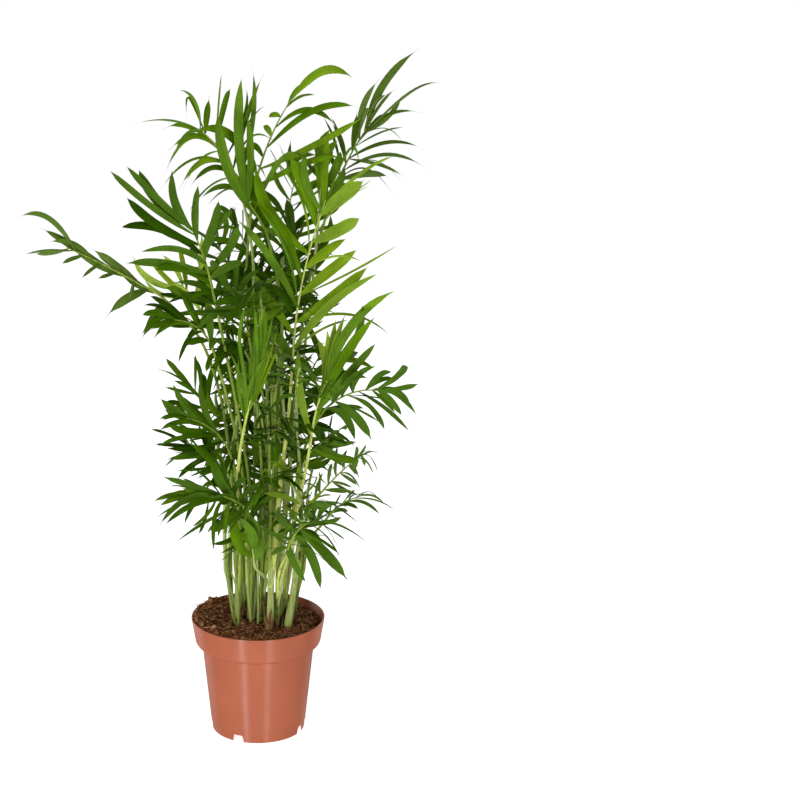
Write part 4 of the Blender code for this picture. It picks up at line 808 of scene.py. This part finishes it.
def build_fibres(radius):
    """Thin curved coir fibres that lie on the soil, a few of them over the rim at the left."""
    draw = random.Random(23)
    fibres = Sheaf("soil_fibres", [
        soil_finish("fibre_red", (0.33, 0.125, 0.05), (0.62, 0.28, 0.14), 300.0),
        soil_finish("fibre_tan", (0.52, 0.33, 0.17), (0.75, 0.52, 0.32), 300.0),
        soil_finish("fibre_dark", (0.095, 0.034, 0.01), (0.27, 0.11, 0.036), 300.0)])
    for number in range(FIBRES):
        x, y = soil_spot(draw, radius - 3 * MM)
        heading = draw.uniform(0, 2 * pi)
        lift = draw.uniform(-0.05, 0.5) * draw.random()
        length, bend = draw.uniform(*FIBRE_LENGTHS) * MM, draw.uniform(-1.6, 1.6)
        if number % RIM_FIBRES == 0:
            heading = pi + draw.uniform(-1.1, 0.7)
            x, y = radius * 0.93 * cos(heading), radius * 0.93 * sin(heading)
            lift, length = draw.uniform(0.1, 0.5), draw.uniform(*RIM_FIBRE_LENGTHS) * MM
        spot = np.array((x, y, soil_surface(x, y) + 0.5 * MM))
        path = []
        for step in range(FIBRE_STEPS + 1):
            path.append(spot)
            turn = heading + bend * step / FIBRE_STEPS
            rise = lift - 0.14 * step * abs(lift)
            spot = spot + np.array((cos(turn), sin(turn), rise)) * length / FIBRE_STEPS
            if hypot(spot[0], spot[1]) < radius:
                spot[2] = max(spot[2], soil_surface(spot[0], spot[1]) + 0.3 * MM)
        thick = draw.uniform(*FIBRE_RADII) * MM
        radii = thick * (1 - 0.7 * np.linspace(0, 1, FIBRE_STEPS + 1) ** 2)
        points, faces, uvs = tube(path, radii, 4)
        fibres.add(points, faces, dealt(draw, 5, 4, 2), uvs)
    fibres.piece("soil", [], ALL_SMOOTH)


# Stems


def stem_ends(stem):
    """Foot on the soil and top of a stem, in metres."""
    x, y = stem.foot[0] * MM, stem.foot[1] * MM
    reach = stem.foot_radius * MM * SHEATH_SWELL
    round_foot = [(x + a * reach, y + b * reach) for a in (-1, 0, 1) for b in (-1, 0, 1)]
    ground = max(soil_height(*spot) for spot in round_foot)
    return np.array((x, y, ground + CLEAR)), np.array(stem.top) * MM


def stem_solid(stem):
    """The stem's coarse tube as the solids have it, for the test of what touches what."""
    foot, top = stem_ends(stem)
    shares = np.linspace(0, 1, STEM_JOINTS + 1)
    swell = 1 + (SHEATH_SWELL - 1) * np.sin(pi * np.minimum(1, 2.2 * shares))
    radii = np.interp(shares, (0, 1), (stem.foot_radius, stem.top_radius)) * MM * swell
    path = foot + np.outer(shares, top - foot)
    return tube(path, radii, STEM_SIDES, level_steps=(0, STEM_JOINTS))[:2]


def build_stems():
    """Each stem with its rings and a closing taper, rooted a little under the soil."""
    stems = Sheaf("stems", [
        stem_finish("stem_green", (0.165, 0.245, 0.03), (0.345, 0.425, 0.11), (0.12, 0.1, 0.03)),
        stem_finish("stem_pale", (0.215, 0.29, 0.045), (0.45, 0.515, 0.165), (0.16, 0.12, 0.04)),
        stem_finish("stem_deep", (0.095, 0.16, 0.012), (0.23, 0.315, 0.06), (0.07, 0.06, 0.02))])
    for number, stem in STEMS.items():
        draw = random.Random(99 + number)
        foot, top = stem_ends(stem)
        foot = foot - UP * ROOT_DEPTH
        sway = np.array((draw.uniform(-1, 1), draw.uniform(-1, 1), 0)) * STEM_SWAY
        shares = np.linspace(0, 1, FINE_STEM_STEPS + 1)
        swell = 1 + (SHEATH_SWELL - 1) * np.sin(pi * np.minimum(1, 1.8 * shares + 0.1))
        ring_places = shares * 3.2 + [draw.random() * 0.01 for _ in shares]
        rings = 1 + 0.035 * np.exp(-(ring_places % 1.0 - 0.5) ** 2 * 260)
        close = 1 - 0.45 * np.maximum(0, (shares - 0.9) / 0.1) ** 2
        radii = np.interp(shares, (0, 1), (stem.foot_radius, stem.top_radius)) * MM * swell * rings * close
        path = foot + np.outer(shares, top - foot) + np.outer(np.sin(pi * shares * 1.5), sway)
        points, faces, uvs = tube(path, radii, FINE_STEM_SIDES, STEM_FLAT)
        stems.add(points, faces, 1 if number in PALE_STEMS else 2 - number % 3, uvs)
    stems.piece("stem", [f"stem_{number:02d}" for number in STEMS], FLAT_SHARP)


def build_sheaths():
    """Dry sheaths that wrap the feet of some stems and end in a point that stands off a little."""
    sheaths = Sheaf("sheaths", [
        sheath_finish("sheath_brown", (0.1, 0.042, 0.014), (0.44, 0.25, 0.11)),
        sheath_finish("sheath_olive", (0.15, 0.11, 0.024), (0.44, 0.38, 0.11))])
    for number, (stem, heading, low, length, span, stand) in enumerate(SHEATHS):
        foot, top = stem_ends(STEMS[stem])
        along = unit(top - foot)
        side = unit(np.cross(along, turned(FRONT, UP, heading)))
        ahead = np.cross(side, along)
        radius = STEMS[stem].foot_radius * MM * SHEATH_SWELL
        points, uvs = [], []
        for inside in (0, 1):
            for row in range(SHEATH_ROWS + 1):
                share = row / SHEATH_ROWS
                middle = foot + along * (low + length * share) * MM
                half = radians(span) / 2 * (1 - 0.97 * share) ** SHEATH_POINT
                reach = radius * (1.12 + 0.1 * (1 - share)) + (stand * share ** 2 - 0.25 * inside) * MM
                for column in range(SHEATH_COLUMNS + 1):
                    angle = half * (2 * column / SHEATH_COLUMNS - 1)
                    ruffle = 1 + 0.05 * sin(7 * angle + 5 * share + number)
                    off = (ahead * cos(angle) + side * sin(angle)) * reach * ruffle
                    points.append(middle + off)
                    uvs.append((column / SHEATH_COLUMNS, share))
        wide, half_count = SHEATH_COLUMNS + 1, len(points) // 2
        faces = []
        for row in range(SHEATH_ROWS):
            for column in range(SHEATH_COLUMNS):
                corner = row * wide + column
                face = (corner, corner + 1, corner + wide + 1, corner + wide)
                faces += [face, tuple(spot + half_count for spot in reversed(face))]
        grid = np.arange(half_count).reshape(-1, wide)
        rim = [*grid[0], *grid[1:, -1], *grid[-1, -2::-1], *grid[-2:0:-1, 0]]
        for here, after in zip(rim, rim[1:] + rim[:1]):
            faces.append((after, here, here + half_count, after + half_count))
        sheaths.add(points, faces, number % 2, uvs)
    sheaths.piece("stem", [], ALL_SMOOTH)


def build_shoots():
    """Young folded leaves, thin spears that stand between the stems."""
    draw = random.Random(31)
    shoots = Sheaf("shoots", [
        stem_finish("shoot_green", (0.14, 0.23, 0.03), (0.27, 0.38, 0.075), (0.1, 0.12, 0.03)),
        stem_finish("shoot_pale", (0.235, 0.315, 0.06), (0.42, 0.49, 0.14), (0.22, 0.2, 0.07)),
        stem_finish("shoot_brown", (0.1, 0.08, 0.03), (0.24, 0.2, 0.085), (0.06, 0.04, 0.02))])
    for number in range(SHOOTS):
        x, y = draw.uniform(*CLUMP_X) * MM, draw.uniform(*CLUMP_Y) * MM
        foot = np.array((x, y, soil_height(x, y) - 4 * MM))
        height = draw.uniform(*SHOOT_HEIGHTS) * MM
        lean = np.array((x * 0.55 + draw.uniform(-6, 6) * MM, y * 0.5 + draw.uniform(-6, 6) * MM, height))
        bend = np.array((draw.uniform(-4, 4), draw.uniform(-4, 4), 0)) * MM
        thick = draw.uniform(*SHOOT_RADII) * MM
        shares = np.linspace(0, 1, SHOOT_STEPS + 1)
        path = foot + np.outer(shares, lean) + np.outer(np.sin(pi * shares), bend)
        radii = thick * (1 - 0.35 * shares) * (1 - np.maximum(0, (shares - 0.7) / 0.3) ** 2 * 0.93)
        points, faces, uvs = tube(path, radii, SHOOT_SIDES, 0.8)
        shoots.add(points, faces, dealt(draw, 4, 4, 1.5), uvs)
    shoots.piece("stem", [], ALL_SMOOTH)


# Fronds


def frond_node(number):
    """The name of the frond's solid."""
    return f"frond_{number:02d}"


def rachis_bend(frond):
    """The three points of the rachis's bend: neck, bow and tip, in metres."""
    neck, tip = np.array(frond.neck) * MM, np.array(frond.tip) * MM
    chord = tip - neck
    along = unit(chord)
    rise = unit(UP - along * along.dot(UP))
    bow = (neck + tip) / 2 + rise * 2 * frond.arch * np.linalg.norm(chord)
    return neck, bow, tip


def rachis_at(bend, share):
    """Point and direction on the rachis, from 0 at the neck to 1 at the tip."""
    neck, bow, tip = bend
    point = neck * (1 - share) ** 2 + bow * 2 * share * (1 - share) + tip * share ** 2
    return point, unit((bow - neck) * (1 - share) + (tip - bow) * share)


def petiole_at(root, aim, bend, share):
    """Point on the petiole, which leaves its root along aim and runs into the rachis."""
    neck = bend[0]
    reach = np.linalg.norm(neck - root) * 0.9
    back = 1 - share
    point = root * back ** 2 * (1 + 2 * share) + neck * share ** 2 * (3 - 2 * share)
    return point + aim * reach * share * back ** 2 - rachis_at(bend, 0)[1] * reach * share ** 2 * back


def leaflet_places(pairs):
    """Place along the rachis and side of each leaflet, left and right in turn, then the last pair."""
    for pair in range(pairs):
        yield pair / pairs, -1
        yield (pair + RIGHT_STAGGER) / pairs, 1
    yield LAST_PLACES[0], -1
    yield LAST_PLACES[1], 1


def leaflets_of(frond, own, wild):
    """The frond's leaflets by its rule, with swings times wild; own may list their own sizes."""
    bend = rachis_bend(frond)
    draw = random.Random(frond.seed)
    near_angle, far_angle, last_angle = frond.spread
    found = []
    for number, (place, side) in enumerate(leaflet_places(frond.pairs)):
        sway = [draw.uniform(-wild, wild) for _ in range(6)]
        point, along = rachis_at(bend, place)
        face = turned(unit(FRONT - along * along.dot(FRONT)), along, frond.turn)
        outward = np.cross(along, face) * side
        # Leaflets are longest and widest near the rachis's middle
        if number < 2 * frond.pairs:
            angle = near_angle + (far_angle - near_angle) * place + sway[0] * JITTER_ANGLE
            size = 0.62 + 0.38 * sin(pi * (0.85 * place + 0.12))
            breadth = 0.8 + 0.2 * sin(pi * (0.8 * place + 0.15))
        else:
            angle = last_angle + sway[0] * JITTER_ANGLE / 2
            size, breadth = LAST_SIZE
        length = frond.length * size * (1 + JITTER_LENGTH * sway[2])
        width = frond.width * breadth * (1 + JITTER_WIDTH * sway[3])
        droop = frond.droop * (1 + JITTER_DROOP * sway[4])
        if own:
            angle, length, droop, width = own[number % 2][number // 2]
        off = radians(angle)
        lift = radians(LIFT + JITTER_LIFT * sway[1])
        raised = outward * cos(lift) + face * sin(lift)
        aim = along * cos(off) + raised * sin(off)
        across = turned(unit(along - aim * aim.dot(along)), aim, JITTER_TWIST * sway[5])
        found.append(Leaflet(place, side, point, aim, across, length * MM, width * MM, droop))
    return found


def bundle(leaflet, along, parts, close, draw):
    """The leaflet as a few slimmer ones, from its own direction to one that closes to the rachis's."""
    if parts == 1:
        return [leaflet]
    slim = []
    for part in range(parts):
        share = close * (part + 0.5 * draw.random()) / parts
        across = turned(leaflet.across, leaflet.aim, draw.uniform(-BUNDLE_TURN, BUNDLE_TURN))
        length = leaflet.length * (draw.uniform(*BUNDLE_LENGTHS) if part else 1.0)
        slim.append(leaflet._replace(aim=unit(leaflet.aim * (1 - share) + along * share), across=across,
                                     length=length, width=leaflet.width * BUNDLE_WIDTH / parts))
    return slim


class Shape:
    """Points and faces with their box and search tree, to test what touches what."""

    def __init__(self, points, faces):
        self.low, self.high = np.min(points, axis=0), np.max(points, axis=0)
        self.tree = BVHTree.FromPolygons([tuple(point) for point in points], faces)

    def touches(self, other):
        apart = (self.low > other.high).any() or (other.low > self.high).any()
        return not apart and bool(self.tree.overlap(other.tree))


class Limb:
    """A frond's petiole and rachis as one tube, which can be shifted in its middle."""

    def __init__(self, frond, root, aim, shift):
        self.bend = rachis_bend(frond)
        petiole = [petiole_at(root, aim, self.bend, step / PETIOLE_STEPS) for step in range(PETIOLE_STEPS)]
        rachis = [rachis_at(self.bend, step / RACHIS_STEPS)[0] for step in range(RACHIS_STEPS + 1)]
        line = np.array(petiole + rachis)
        lengths = np.concatenate(([0], np.cumsum(np.linalg.norm(np.diff(line, axis=0), axis=1))))
        self.spots = lengths / lengths[-1]
        self.neck_spot = self.spots[PETIOLE_STEPS]
        self.path = line + np.outer(np.sin(pi * self.spots), shift)
        self.radii = np.interp(self.spots, (0, self.neck_spot, 1),
                               (PETIOLE_RADIUS, NECK_RADIUS, RACHIS_TIP_RADIUS))

    def on_rachis(self, share):
        """Point on the smooth limb, at a share of the rachis."""
        return smooth_line(self.path, [PETIOLE_STEPS + share * RACHIS_STEPS])[0]

    def solid(self, extra=0.0):
        return tube(self.path, self.radii + extra, TUBE_SIDES, level_steps=(0,))[:2]

    def fine(self, stem, stout):
        """The finer tube from inside the stem's top on, with a stouter foot, straighter where it is short."""
        foot, top = stem_ends(stem)
        inside = top - unit(top - foot) * SHEATH_DEPTH
        path = self.path.copy()
        straight = np.linspace(path[0], path[PETIOLE_STEPS], PETIOLE_STEPS + 1)
        if np.linalg.norm(straight[-1] - straight[0]) < SHORT_PETIOLE:
            path[:PETIOLE_STEPS + 1] += (straight - path[:PETIOLE_STEPS + 1]) * STRAIGHTENED
        spots = np.linspace(0, len(path) - 1, (len(path) - 1) * FINE_STEPS + 1)
        line = np.concatenate(([inside, (inside + path[0]) / 2], smooth_line(path, spots)))
        shares = np.interp(spots, range(len(self.path)), self.spots)
        foot_radius, neck_radius, tip_radius = FINE_RADII
        radii = np.interp(shares, (0, self.neck_spot, 1), (foot_radius * stout, neck_radius, tip_radius))
        return tube(line, [radii[0], radii[0], *radii], FINE_SIDES)


def petiole_roots():
    """Root and direction of each frond, on a ring round its stem's top in the order of where they go."""
    roots = {}
    for stem_number, stem in STEMS.items():
        foot, top = stem_ends(stem)
        headings = {}
        for number, frond in FRONDS.items():
            if frond.stem == stem_number:
                x, y, _ = np.array(frond.tip) * MM - top
                headings[number] = complex(x, y) / hypot(x, y)
        middle = cmath.phase(sum(headings.values()))
        borne = sorted(headings, key=lambda number: cmath.phase(headings[number] * cmath.rect(1, -middle)))
        ring = CROWN_RING if len(borne) > 1 else 0.0
        for rank, number in enumerate(borne):
            angle = middle + 2 * pi * (rank - (len(borne) - 1) / 2) / len(borne)
            spread = np.array((cos(angle), sin(angle), 0)) * ring
            roots[number] = top + UP * CLEAR + spread, unit(top - foot)
    return roots


def shifts():
    """No shift first, then wider and wider ones, all round."""
    yield np.zeros(3)
    for reach in SHIFT_REACHES:
        for step in range(SHIFT_WAYS):
            angle = 2 * pi / SHIFT_WAYS * step
            yield np.array((cos(angle), sin(angle), 0)) * reach * MM


def place_limbs(fronds, roots, standing):
    """The limb of each frond, shifted as in the solids where it would touch what stands, itself added."""
    limbs = {}
    for number, frond in fronds.items():
        for shift in shifts():
            limb = Limb(frond, *roots[number], shift)
            probe = Shape(*limb.solid(PROBE))
            if not any(probe.touches(other) for other in standing):
                break
        limbs[number] = limb
        standing.append(Shape(*limb.solid()))
    return limbs


def young_fronds():
    """Fronds that fill the crown from within, spread round it and up its height by the golden share."""
    draw = random.Random(5)
    fronds, roots = {}, {}
    for count in range(YOUNG_FRONDS):
        heading = 2 * pi * GOLDEN * count + 0.4
        height = YOUNG_LOW + (YOUNG_HIGH - YOUNG_LOW) * (GOLDEN * count * 3 % 1)
        way = np.array((cos(heading) * YOUNG_ACROSS, sin(heading), 0))
        neck = np.array((*CROWN_MIDDLE, height)) + way * draw.uniform(*YOUNG_NECKS)
        tip = neck + way * (30 + 30 * abs(way[1])) + UP * draw.uniform(*YOUNG_RISES)
        stem = min(STEMS, key=lambda number: np.linalg.norm(np.array(STEMS[number].top[:2]) - neck[:2]))
        turn, length = draw.uniform(*YOUNG_TURNS), draw.uniform(*YOUNG_LENGTHS)
        droop = draw.uniform(*YOUNG_DROOPS)
        seed = YOUNG_SEED + count
        fronds[seed] = Frond(stem, neck, tip, 0.1, turn, 5, length, 5.5, YOUNG_SPREAD, droop, "dark", seed)
        foot, top = stem_ends(STEMS[stem])
        roots[seed] = top + UP * CLEAR, unit(top - foot)
    return fronds, roots


def outline(shares, tail):
    """Width at each share of the length: a narrow root, an even strap, then a blunt tip or a long tail."""
    rise = np.sin(pi / 2 * np.clip(shares / BELLY_AT, 0, 1))
    end = 1 - TAIL_LENGTH * tail
    fall = 1 - np.clip((shares - BELLY_AT) / (end - BELLY_AT), 0, 1) ** (BLUNT + (SLENDER - BLUNT) * tail)
    thread = TAIL_WIDTH * tail * np.clip((1 - shares) / (1 - end + 0.01), 0, 1)
    return np.maximum((ROOT_SHARE + (1 - ROOT_SHARE) * rise) * fall, thread)


def blade(leaflet, tail, curve, draw):
    """Points, faces, UVs and stations of a leaflet: a keeled strap with a thin rim and a curved tip."""
    shares = np.append(np.linspace(0, TIP_STATION, STATIONS), 1.0)
    path = leaflet.aim * shares[:, None] - UP * leaflet.droop * shares[:, None] ** DROOP_POWER
    whole = np.linspace(0, 1, CHORDS + 1)[:, None]
    full = leaflet.aim * whole - UP * leaflet.droop * whole ** DROOP_POWER
    size = leaflet.length / np.linalg.norm(np.diff(full, axis=0), axis=1).sum()
    sickle = draw.uniform(-curve, curve) * (shares ** 2 - shares)
    line = leaflet.root + path * size + leaflet.across * (sickle * leaflet.length)[:, None]
    along = np.gradient(line, axis=0)
    along /= np.linalg.norm(along, axis=1)[:, None]
    across = leaflet.across - along * (along @ leaflet.across)[:, None]
    across /= np.linalg.norm(across, axis=1)[:, None]
    normal = np.cross(along, across)
    twist = (draw.uniform(-TWIST, TWIST) * shares)[:, None]
    flat, rise = across, normal
    across = flat * np.cos(twist) + rise * np.sin(twist)
    normal = rise * np.cos(twist) - flat * np.sin(twist)
    upper = 1.0 if normal[STATIONS // 3, 2] >= 0 else -1.0
    normal = normal * upper
    tail = min(1.0, max(0.0, tail + draw.uniform(-TAIL_SWAY, TAIL_SWAY)))
    half = outline(shares, tail) * leaflet.width / 2 * STRAP_WIDTH
    fold = draw.uniform(*FOLD) * (1 - 0.5 * shares)
    wave = draw.uniform(*WAVES) * np.sin(2 * pi * (draw.uniform(*WAVE_TURNS) * shares + draw.random()))
    streak = draw.uniform(0, STREAKS)
    points, uvs = [], []
    ring = [(place, 0.0) for place in PLACES_ACROSS] + [(place, 1.0) for place in PLACES_ACROSS[-2:0:-1]]
    for station in range(STATIONS):
        for place, below in ring:
            drop = abs(place) * half[station] * (fold[station] - wave[station] * place)
            thick = below * min(BLADE_THICK, half[station] * 0.5)
            beside = across[station] * place * half[station] - normal[station] * (drop + thick)
            points.append(line[station] + beside)
            uvs.append((streak + place / 2, shares[station]))
    points.append(line[-1])
    uvs.append((streak, 1.0))
    turns = len(ring)
    rings = [range(station * turns, (station + 1) * turns) for station in range(STATIONS)]
    faces = joined(rings + [[STATIONS * turns]]) + [tuple(reversed(rings[0]))]
    stations = [(share, corner >= len(PLACES_ACROSS) - 1) for share in shares[:-1] for corner in range(turns)]
    return points, faces, uvs, stations + [(0.0, False)]


def finer(frond):
    """The frond with more and slimmer leaflets, for one that lists none by itself."""
    return frond._replace(pairs=round(frond.pairs * FINER), width=frond.width * FINER_WIDTH)


def kept_in(leaflet):
    """The leaflet, shortened where it would reach further back than the solids do."""
    if leaflet.aim[1] <= 0:
        return leaflet
    return leaflet._replace(length=min(leaflet.length, (cad_high.y - leaflet.root[1]) / leaflet.aim[1]))


def build_petioles(fronds, limbs):
    """The petioles and rachises of all the fronds in one piece."""
    petioles = Sheaf("petioles", [
        stem_finish("petiole_green", (0.165, 0.265, 0.018), (0.32, 0.43, 0.05), (0.12, 0.15, 0.02)),
        stem_finish("petiole_pale", (0.32, 0.42, 0.09), (0.54, 0.62, 0.21), (0.2, 0.22, 0.06)),
        stem_finish("petiole_yellow", (0.46, 0.56, 0.085), (0.7, 0.75, 0.19), (0.34, 0.28, 0.08))])
    draw = random.Random(7)
    for number, frond in fronds.items():
        points, faces, uvs = limbs[number].fine(STEMS[frond.stem], STOUT.get(number, 1.0))
        green = dealt(draw, 1, 2, 3) if frond.tone in ("bright", "yellow") else dealt(draw, 5, 3, 0)
        petioles.add(points, faces, 2 if number in STOUT else green, uvs)
    petioles.piece("stem", [frond_node(number) for number in FRONDS], ALL_SMOOTH)


def build_leaflets(fronds, limbs):
    """The leaflets of each tone in one piece, and those of the young fronds in one more."""
    shades, unders = {}, {}
    for tone, (*colours, under) in LEAF_SHADES.items():
        shades[tone] = [leaf_finish(f"leaf_{tone}_{rank}", colour) for rank, colour in enumerate(colours)]
        unders[tone] = leaf_finish(f"under_{tone}", under, 0.6, 0.08)
    dry = dry_finish()
    sheaves = {}
    for number, frond in fronds.items():
        sheaf_name = f"leaflets_{frond.tone}" if number in FRONDS else "leaflets_young"
        if sheaf_name not in sheaves:
            sheaves[sheaf_name] = Sheaf(sheaf_name), f"leaf_{frond.tone}", []
        leaves, _, replaced = sheaves[sheaf_name]
        if number in FRONDS:
            replaced.append(frond_node(number))
        own = OWN_LEAFLETS.get(number)
        draw = random.Random(1000 + frond.seed)
        lean = draw.random()
        dry_share, tail = DRY_TIPS.get(number, DRY_SHARE), TAILS.get(number, COMMON_TAIL)
        grown, (parts, close) = [], BUNDLES.get(number, (1, 0))
        for whole in leaflets_of(frond, own, 1.0) if own else leaflets_of(finer(frond), None, WILD):
            grown += bundle(whole, rachis_at(limbs[number].bend, whole.place)[1], parts, close, draw)
        if number in BESIDES:
            width, droop = BESIDES[number]
            grown += leaflets_of(frond._replace(width=width, droop=droop), None, WILD)
        for leaflet in grown:
            leaflet = kept_in(leaflet._replace(root=limbs[number].on_rachis(leaflet.place)))
            tone = "pale" if number in PALE_FRONDS else frond.tone
            odd_side, odd_tone = SIDE_TONES.get(number, (0, tone))
            tone = odd_tone if leaflet.side == odd_side else tone
            shade = shades[tone][min(2, int(3 * (0.4 * lean + 0.6 * draw.random())))]
            dry_from = DRY_FROM + 0.1 * draw.random() if draw.random() < dry_share else 2
            points, faces, uvs, stations = blade(leaflet, tail, SICKLE if own else WILD_SICKLE, draw)
            looks = []
            for share, below in stations:
                look = unders[tone] if below else shade
                looks.append(leaves.number(dry if share > dry_from else look))
            leaves.add(points, faces, looks, uvs)
    for leaves, slot, replaced in sheaves.values():
        leaves.piece(slot, replaced, FLAT_SHARP)


# Stage


def add_light(name, place, aim, size, power):
    """A soft rectangular light that faces a point."""
    data = bpy.data.lights.new(name, "AREA")
    data.shape = "RECTANGLE"
    data.size, data.size_y = size
    data.energy = power
    light = added(name, data)
    light.location = place
    light.rotation_euler = (Vector(aim) - Vector(place)).to_track_quat("-Z", "Y").to_euler()
    light.visible_camera = False


def light_world(ambient):
    """A white background that lights the plant only softly."""
    world = bpy.data.worlds.new("studio")
    bpy.context.scene.world = world
    world.use_nodes = True
    nodes, links = world.node_tree.nodes, world.node_tree.links
    nodes["Background"].inputs["Color"].default_value = (1.0, 1.0, 1.0, 1.0)
    path = nodes.new("ShaderNodeLightPath")
    strength = nodes.new("ShaderNodeMapRange")
    strength.inputs["To Min"].default_value = ambient
    strength.inputs["To Max"].default_value = 1.0
    links.new(path.outputs["Is Camera Ray"], strength.inputs["Value"])
    links.new(strength.outputs["Result"], nodes["Background"].inputs["Strength"])


def build_stage():
    """Camera, lights and a pale floor."""
    data = bpy.data.cameras.new("photo_view")
    data.lens, data.sensor_width = CAMERA_LENS, SENSOR
    camera = added("photo_view", data)
    camera.matrix_world = (Matrix.Translation(CAMERA_PLACE) @ Matrix.Rotation(-CAMERA_YAW, 4, "Z")
                           @ Matrix.Rotation(pi / 2 - CAMERA_PITCH, 4, "X")
                           @ Matrix.Rotation(CAMERA_ROLL, 4, "Z"))
    bpy.context.scene.camera = camera
    bpy.context.scene.view_settings.view_transform = "Standard"
    light_world(AMBIENT)
    low, middle = (0, 0, 0.25), (0, 0, 0.3)
    add_light("left_strip", (-0.8, -1.5, 0.46), low, (0.22, 0.86), 10)
    add_light("right_strip", (0.56, -1.62, 0.46), low, (0.22, 0.86), 6)
    add_light("top_soft", (-0.3, -0.6, 1.9), middle, (1.2, 1.2), 9)
    add_light("back_soft", (0.5, 1.7, 1.3), middle, (1.4, 1.4), 4)
    add_light("left_edge", (-1.25, 0.85, 0.25), middle, (0.9, 0.9), 6)
    add_light("right_edge", (1.25, 0.95, 0.25), middle, (0.7, 0.9), 3)
    work = bmesh.new()
    bmesh.ops.create_circle(work, cap_ends=True, segments=FLOOR_SEGMENTS, radius=FLOOR_RADIUS)
    mesh = mesh_of("floor", work)
    mesh.materials.append(floor_finish())
    floor = added("floor", mesh)
    floor.location = (0, 0, pot_low.z)
    floor.visible_glossy = False


build_stage()
build_pot()
build_soil()
build_stems()
build_sheaths()
build_shoots()
standing = [Shape(*stem_solid(stem)) for stem in STEMS.values()]
places = place_limbs(FRONDS, petiole_roots(), standing)
young, young_roots = young_fronds()
places.update(place_limbs(young, young_roots, standing))
build_petioles({**FRONDS, **young}, places)
build_leaflets({**FRONDS, **young}, places)
